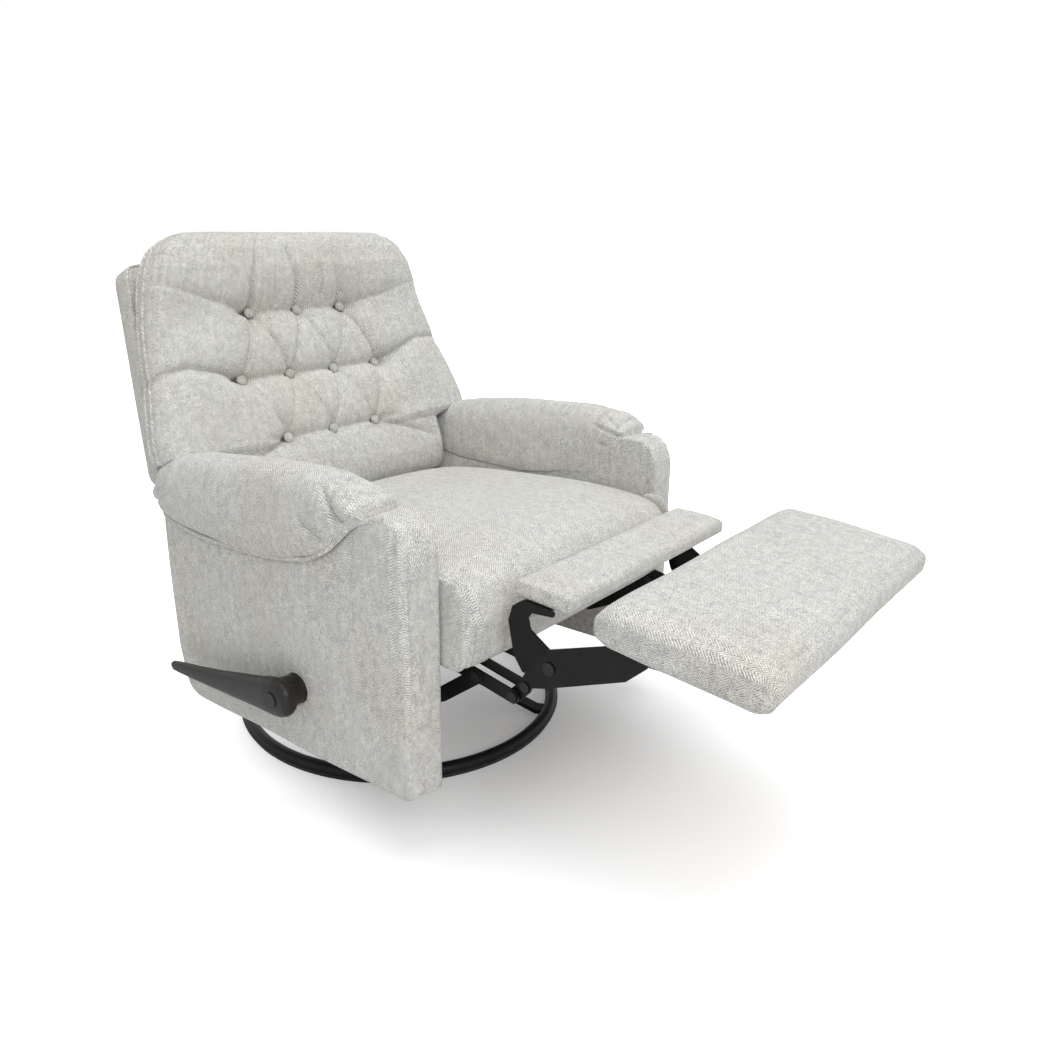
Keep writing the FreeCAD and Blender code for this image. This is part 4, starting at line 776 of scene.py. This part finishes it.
def footrest_shape(a, b, c):
    """The padded footrest, crowned on top and squared at both ends."""
    p = rolled(a, b, c, FOOT_HALF, (0.009, 0.022, 0.018))
    top = (c + 1) / 2
    x, y, z = p[:, 0], p[:, 1] - 0.072, p[:, 2] + 0.0450
    ends = np.clip((np.abs(x) - 0.262) / 0.041, 0, 1)
    z = z - top * 0.009 * ends ** 2 + top * 0.0045 * (1 - (b * b)) * (1 - ends)
    z = z + top * 0.0016 * ripple(x, y, 26, 21)
    bulge = 0.0045 * np.sign(b) * (1 - c * c) * np.abs(b) ** 3
    y = y + bulge + 0.0022 * np.abs(b) * ripple(x, z, 22, 23)
    x = x + np.sign(a) * np.abs(a) ** 6 * (0.0015 * ripple(y, z, 50, 24) - 0.004 * (1 - top))
    return tilted(np.stack([x, y, z], axis=-1), FOOT_AT, FOOT_TILT)


footrest = block("footrest_cover", (150, 66, 22), FOOT_HALF, footrest_shape)
dress(footrest, "footrest", "footrest_pad", fill=0.9)


def filler_shape(a, b, c):
    """The thin pad between the seat and the footrest."""
    p = rolled(a, b, c, FILLER_HALF, (0.005, 0.009, 0.0085))
    top = (c + 1) / 2
    x, y, z = p[:, 0], p[:, 1] + 0.0325, p[:, 2] + 0.0945
    z = z + top * (0.0025 * (1 - b * b) + 0.0009 * ripple(x, y, 30, 31))
    return tilted(np.stack([x, y, z], axis=-1), FILLER_AT, FILLER_TILT)


filler = block("filler_cover", (120, 36, 12), FILLER_HALF, filler_shape)
dress(filler, "filler", "filler_pad", fill=0.9)


# ---------------------------------------------------------------------------
# Handle. A lever moulded in black plastic, flattened and tapered to its tip. Its round hub is
# pressed on the end of the drive shaft and closed by a cap.

def plain_finish(name, colour, rough, metal=0.0, grain=600.0, depth=0.25, wear=None, shine=0.4):
    """A solid finish with fine grain in its surface and a little wear."""
    material = bpy.data.materials.new(name)
    material.use_nodes = True
    node, _, noise, ramp = wiring(material.node_tree)
    where = node("ShaderNodeTexCoord").outputs["Object"]
    fine, broad = noise(where, grain, 3.0), noise(where, 14.0, 5.0)
    worn = wear or tuple(min(1.0, part * 1.35 + 0.004) for part in colour)
    paint = ramp(broad, (0.35, colour), (0.75, worn))
    polish = node("ShaderNodeMapRange", {"Value": broad, "To Min": rough - 0.07,
                                         "To Max": rough + 0.10})
    bump = node("ShaderNodeBump", {"Strength": depth, "Distance": 0.0004, "Height": fine})
    shader = node("ShaderNodeBsdfPrincipled", {
        "Base Color": paint, "Roughness": polish.outputs[0], "Normal": bump.outputs[0],
        "Metallic": metal, "Specular IOR Level": shine})
    node("ShaderNodeOutputMaterial", {0: shader.outputs[0]})
    return material


def finish_nodes(material, *names):
    """The CAD nodes of these names take this finish."""
    for name in names:
        nodes[name].data.materials.clear()
        nodes[name].data.materials.append(material)


handle_black = plain_finish("moulded_black", (0.010, 0.0085, 0.0075), 0.38, grain=900, shine=0.35)
finish_nodes(handle_black, "handle_cap")
SHAFT_AT = np.array([-0.436, -0.150, 0.225])
LEVER = [
    # along, drop, half height, half thickness, how far out
    (-0.034, 0.000, 0.008, 0.0050, 0.000), (-0.0325, 0.000, 0.0165, 0.0105, 0.000),
    (-0.026, 0.000, 0.0245, 0.0145, 0.000), (-0.013, 0.000, 0.0305, 0.0160, 0.000),
    (0.004, 0.001, 0.0320, 0.0165, 0.000), (0.022, 0.003, 0.0305, 0.0160, 0.000),
    (0.045, 0.007, 0.0275, 0.0145, 0.001), (0.090, 0.014, 0.0240, 0.0125, 0.003),
    (0.150, 0.023, 0.0190, 0.0105, 0.005), (0.220, 0.032, 0.0140, 0.0085, 0.006),
    (0.280, 0.038, 0.0105, 0.0068, 0.006), (0.298, 0.040, 0.0088, 0.0055, 0.006),
    (0.304, 0.040, 0.0050, 0.0032, 0.006),
]


def lever_rings():
    """The lever from the front of its hub to its tip."""
    turn = np.linspace(0, 2 * math.pi, 40, endpoint=False)
    wide = np.sign(np.cos(turn)) * np.abs(np.cos(turn)) ** 0.75
    high = np.sign(np.sin(turn)) * np.abs(np.sin(turn)) ** 0.85
    rings = []
    for along, drop, tall, thick, out in eased(LEVER, 70, 0):
        x = wide * thick + 0.0148 + out * 0.5
        z = high * tall - drop
        rings.append(np.stack([x, np.full(len(turn), along), z], axis=-1) + SHAFT_AT)
    return rings


lever = loft("lever_handle", lever_rings(), handle_black, smooth=(True, True))
dress(lever, "handle", "handle_lever", slot="black_plastic")

# The round boss moulded behind the hub, running in to the panel.
BOSS_OUTLINE = [(-0.420, 0.0250), (-0.414, 0.0275), (-0.404, 0.0270), (-0.392, 0.0245),
                (-0.3870, 0.0250), (-0.3842, 0.0262), (-0.3836, 0.0255)]
turn = np.linspace(0, 2 * math.pi, 48, endpoint=False)
boss_rings = [np.stack([np.full(len(turn), depth), SHAFT_AT[1] + radius * np.cos(turn),
                        SHAFT_AT[2] + radius * np.sin(turn)], axis=-1)
              for depth, radius in BOSS_OUTLINE]
dress(loft("handle_boss", boss_rings, handle_black), "handle", slot="black_plastic")


# ---------------------------------------------------------------------------
# Steelwork. The ring, the swivel and glide plates and the footrest linkage are stamped or bent
# mild steel in satin black paint, welded or riveted together.

satin_black = plain_finish("satin_black_paint", (0.0045, 0.0045, 0.005), 0.38, grain=700,
                           depth=0.2, shine=0.2)
finish_nodes(satin_black, "floor_ring", "base_spokes", "hub_plate", "swivel_platform",
             "glide_brackets", "front_glide_links", "rear_glide_links", "glide_rails",
             "cross_tubes", "mechanism_plates", "hinge_plates", "lift_links", "control_links",
             "drive_links", "footrest_arms", "footrest_brackets", "filler_hooks", "drive_shaft",
             "drive_cranks", "recline_links", "back_brackets")


# ---------------------------------------------------------------------------
# Hooks of the filler pad. Each is pressed from sheet with a rim turned in along its outer edge,
# which stiffens the bend over the seat's nose.

HOOK_RIM = [(0.050, -0.0285), (0.069, -0.0085), (0.0782, 0.018), (0.0832, 0.044), (0.0815, 0.057),
            (0.078, 0.0675), (0.071, 0.0755), (0.061, 0.0812), (0.040, 0.0815), (0.016, 0.0815)]
RIM_SECTION = [
    # across the chair, and in from the hook's edge
    (0.2270, 0), (0.2420, 0), (0.2424, 0.0008), (0.2420, 0.0024), (0.2270, 0.0024),
]


def hook_rim(side):
    """A narrow strip standing on the edge of one hook."""
    path = eased(HOOK_RIM, 64, 4)
    way = np.gradient(path, axis=0)
    way /= np.linalg.norm(way, axis=1, keepdims=True)
    inward = np.stack([-way[:, 1], way[:, 0]], axis=-1)
    rings = np.array([[(side * across, *(place + normal * deep)) for across, deep in RIM_SECTION]
                      for place, normal in zip(path, inward)])
    turned = tilted(rings.reshape(-1, 3), FILLER_AT, FILLER_TILT).reshape(rings.shape)
    rim = loft(f"{HANDS[side]}_hook_rim", turned, satin_black, smooth=(False, False))
    dress(rim, "filler", slot="black_steel")


for side in HANDS:
    hook_rim(side)


# ---------------------------------------------------------------------------
# Rivets, pins and bolts. They are turned steel in black zinc, a little brighter than the paint
# where they rub.

rivet_black = plain_finish("black_zinc", (0.030, 0.030, 0.031), 0.30, metal=0.8, grain=900,
                           depth=0.15)
finish_nodes(rivet_black, "swivel_bolt", "upper_glide_pins", "lower_glide_pins", "tube_end_bolts",
             "mechanism_pins", "recline_foot_pins", "lift_pins", "footrest_arm_pins", "crank_pins",
             "recline_head_pins")


# ---------------------------------------------------------------------------
# Springs. Zigzag wire under the seat, drawn from oiled spring steel and held at both ends by
# moulded clips.

spring_steel = plain_finish("oiled_spring_steel", (0.20, 0.19, 0.18), 0.38, metal=0.9, grain=500,
                            depth=0.1)
finish_nodes(spring_steel, "seat_springs")


# ---------------------------------------------------------------------------
# Plastic parts. The springs' clips, the strip pressed on under the floor ring and the swivel's
# bearing are moulded in black polymer.

black_plastic = plain_finish("black_polymer", (0.016, 0.016, 0.016), 0.5, grain=500)
finish_nodes(black_plastic, "floor_strip", "swivel_bearing", "spring_clips")


# ---------------------------------------------------------------------------
# Timber. The frame's boards, rails and posts are planed hardwood without a finish, and the
# covers are tacked to them.

timber = plain_finish("hardwood", (0.42, 0.28, 0.16), 0.6, grain=60, depth=0.5,
                      wear=(0.56, 0.41, 0.26))
finish_nodes(timber, "left_side_board", "right_side_board", "seat_side_rails", "seat_cross_rails",
             "footrest_board", "filler_board", "back_posts", "back_rails")


# ---------------------------------------------------------------------------
# Webbing. Woven straps are stretched over the back's frame behind the cushion and carry it.
# Their ends are stapled to the timber.

strap = plain_finish("woven_strap", (0.05, 0.045, 0.04), 0.9, grain=900, depth=0.8)
finish_nodes(strap, "back_straps")


# ---------------------------------------------------------------------------
# Studio. A white floor that keeps the chair's shadow, a white sky, a soft overhead light and a
# fill. The floor glows to the camera, more with the distance, so that it runs into the white;
# its weak glow round the chair paints a broad, soft shadow there.

FLOOR_REACH = 40
floor_white = bpy.data.materials.new("studio_floor")
floor_white.use_nodes = True
node, maths, *_ = wiring(floor_white.node_tree)
spot = node("ShaderNodeTexCoord").outputs["Object"]
# Painted shadow: the camera glow is lowest round a point under the chair's front and grows outward,
# so the floor darkens there like a broad soft shadow.
shifted = node("ShaderNodeMapping", {"Vector": spot, "Location": (0.0, 0.42, 0.0)}).outputs[0]
away = node("ShaderNodeVectorMath", {0: shifted}, operation="LENGTH").outputs["Value"]
share = node("ShaderNodeMapRange", {"Value": away, "From Min": 0.10, "From Max": 1.10,
                                    "To Min": 0.12, "To Max": 1.0},
             interpolation_type="SMOOTHSTEP").outputs[0]
painted_shadow_glow = maths("MULTIPLY", node("ShaderNodeLightPath").outputs["Is Camera Ray"], share)
paint = node("ShaderNodeBsdfDiffuse", {"Color": (0.88, 0.88, 0.88, 1)}).outputs[0]
glow = node("ShaderNodeEmission", {"Color": (1, 1, 1, 1), "Strength": painted_shadow_glow}).outputs[0]
both = node("ShaderNodeAddShader", {0: paint, 1: glow}).outputs[0]
node("ShaderNodeOutputMaterial", {0: both})
floor_mesh = bpy.data.meshes.new("studio_floor")
square = ((-1, -1), (1, -1), (1, 1), (-1, 1))
corners = [(x * FLOOR_REACH, y * FLOOR_REACH, 0) for x, y in square]
floor_mesh.from_pydata(corners, [], [(0, 1, 2, 3)])
floor_mesh.materials.append(floor_white)
placed("studio_floor", floor_mesh)

# The sky is plain white where it is seen or mirrored, and dimmer where it only lights the chair.
world = bpy.data.worlds.new("studio")
bpy.context.scene.world = world
world.use_nodes = True
node, maths, *_ = wiring(world.node_tree)
ray = node("ShaderNodeLightPath").outputs
seen = maths("MAXIMUM", ray["Is Camera Ray"], ray["Is Glossy Ray"])
seen = maths("MAXIMUM", seen, ray["Is Transmission Ray"])
sky = node("ShaderNodeBackground", {"Color": (0.97, 0.98, 1.0, 1), "Strength": 0.61}).outputs[0]
white = node("ShaderNodeBackground", {"Color": (1, 1, 1, 1), "Strength": 1.0}).outputs[0]
blend = node("ShaderNodeMixShader", {0: seen, 1: sky, 2: white}).outputs[0]
node("ShaderNodeOutputWorld", {0: blend})


def soft_lamp(name, place, target, size, power):
    """A square lamp turned to a point."""
    light = bpy.data.lights.new(name, "AREA")
    light.shape = "SQUARE"
    light.size = size
    light.energy = power
    lamp = placed(name, light)
    lamp.location = place
    way = Vector(target) - Vector(place)
    lamp.rotation_euler = way.to_track_quat("-Z", "Y").to_euler()


soft_lamp("overhead", (0.3, -0.4, 3.4), (0, -0.2, 0.3), 2.6, 56)
soft_lamp("fill", (-1.7, -2.7, 2.5), (0, -0.1, 0.4), 2.2, 53)


# ---------------------------------------------------------------------------
# Camera. It stands a little above the arms, off the chair's front right corner, where the photo
# was taken from. Lengths in the picture are in pixels of the square photo.

PICTURE, FOCAL, CENTRE = 1040, 914.37, (482.47, 518.2)
SENSOR = 36.0
lens = bpy.data.cameras.new("photo_view")
lens.sensor_width = SENSOR
lens.lens = FOCAL / PICTURE * SENSOR
lens.shift_x = (PICTURE / 2 - CENTRE[0]) / PICTURE
lens.shift_y = (CENTRE[1] - PICTURE / 2) / PICTURE
lens.clip_start = 0.05
lens.clip_end = 200
camera = placed("photo_view", lens)
right = Vector((0.63610936, -0.77159797, -0.00120645))
up = Vector((0.22830213, 0.18671943, 0.95551766))
ahead = Vector((0.73705022, 0.60808916, -0.29493144))
eye = Matrix.Translation((-1.20976, -1.21601, 0.91436))
camera.matrix_world = eye @ Matrix((right, up, -ahead)).transposed().to_4x4()
bpy.context.scene.camera = camera
bpy.context.scene.view_settings.view_transform = "Standard"
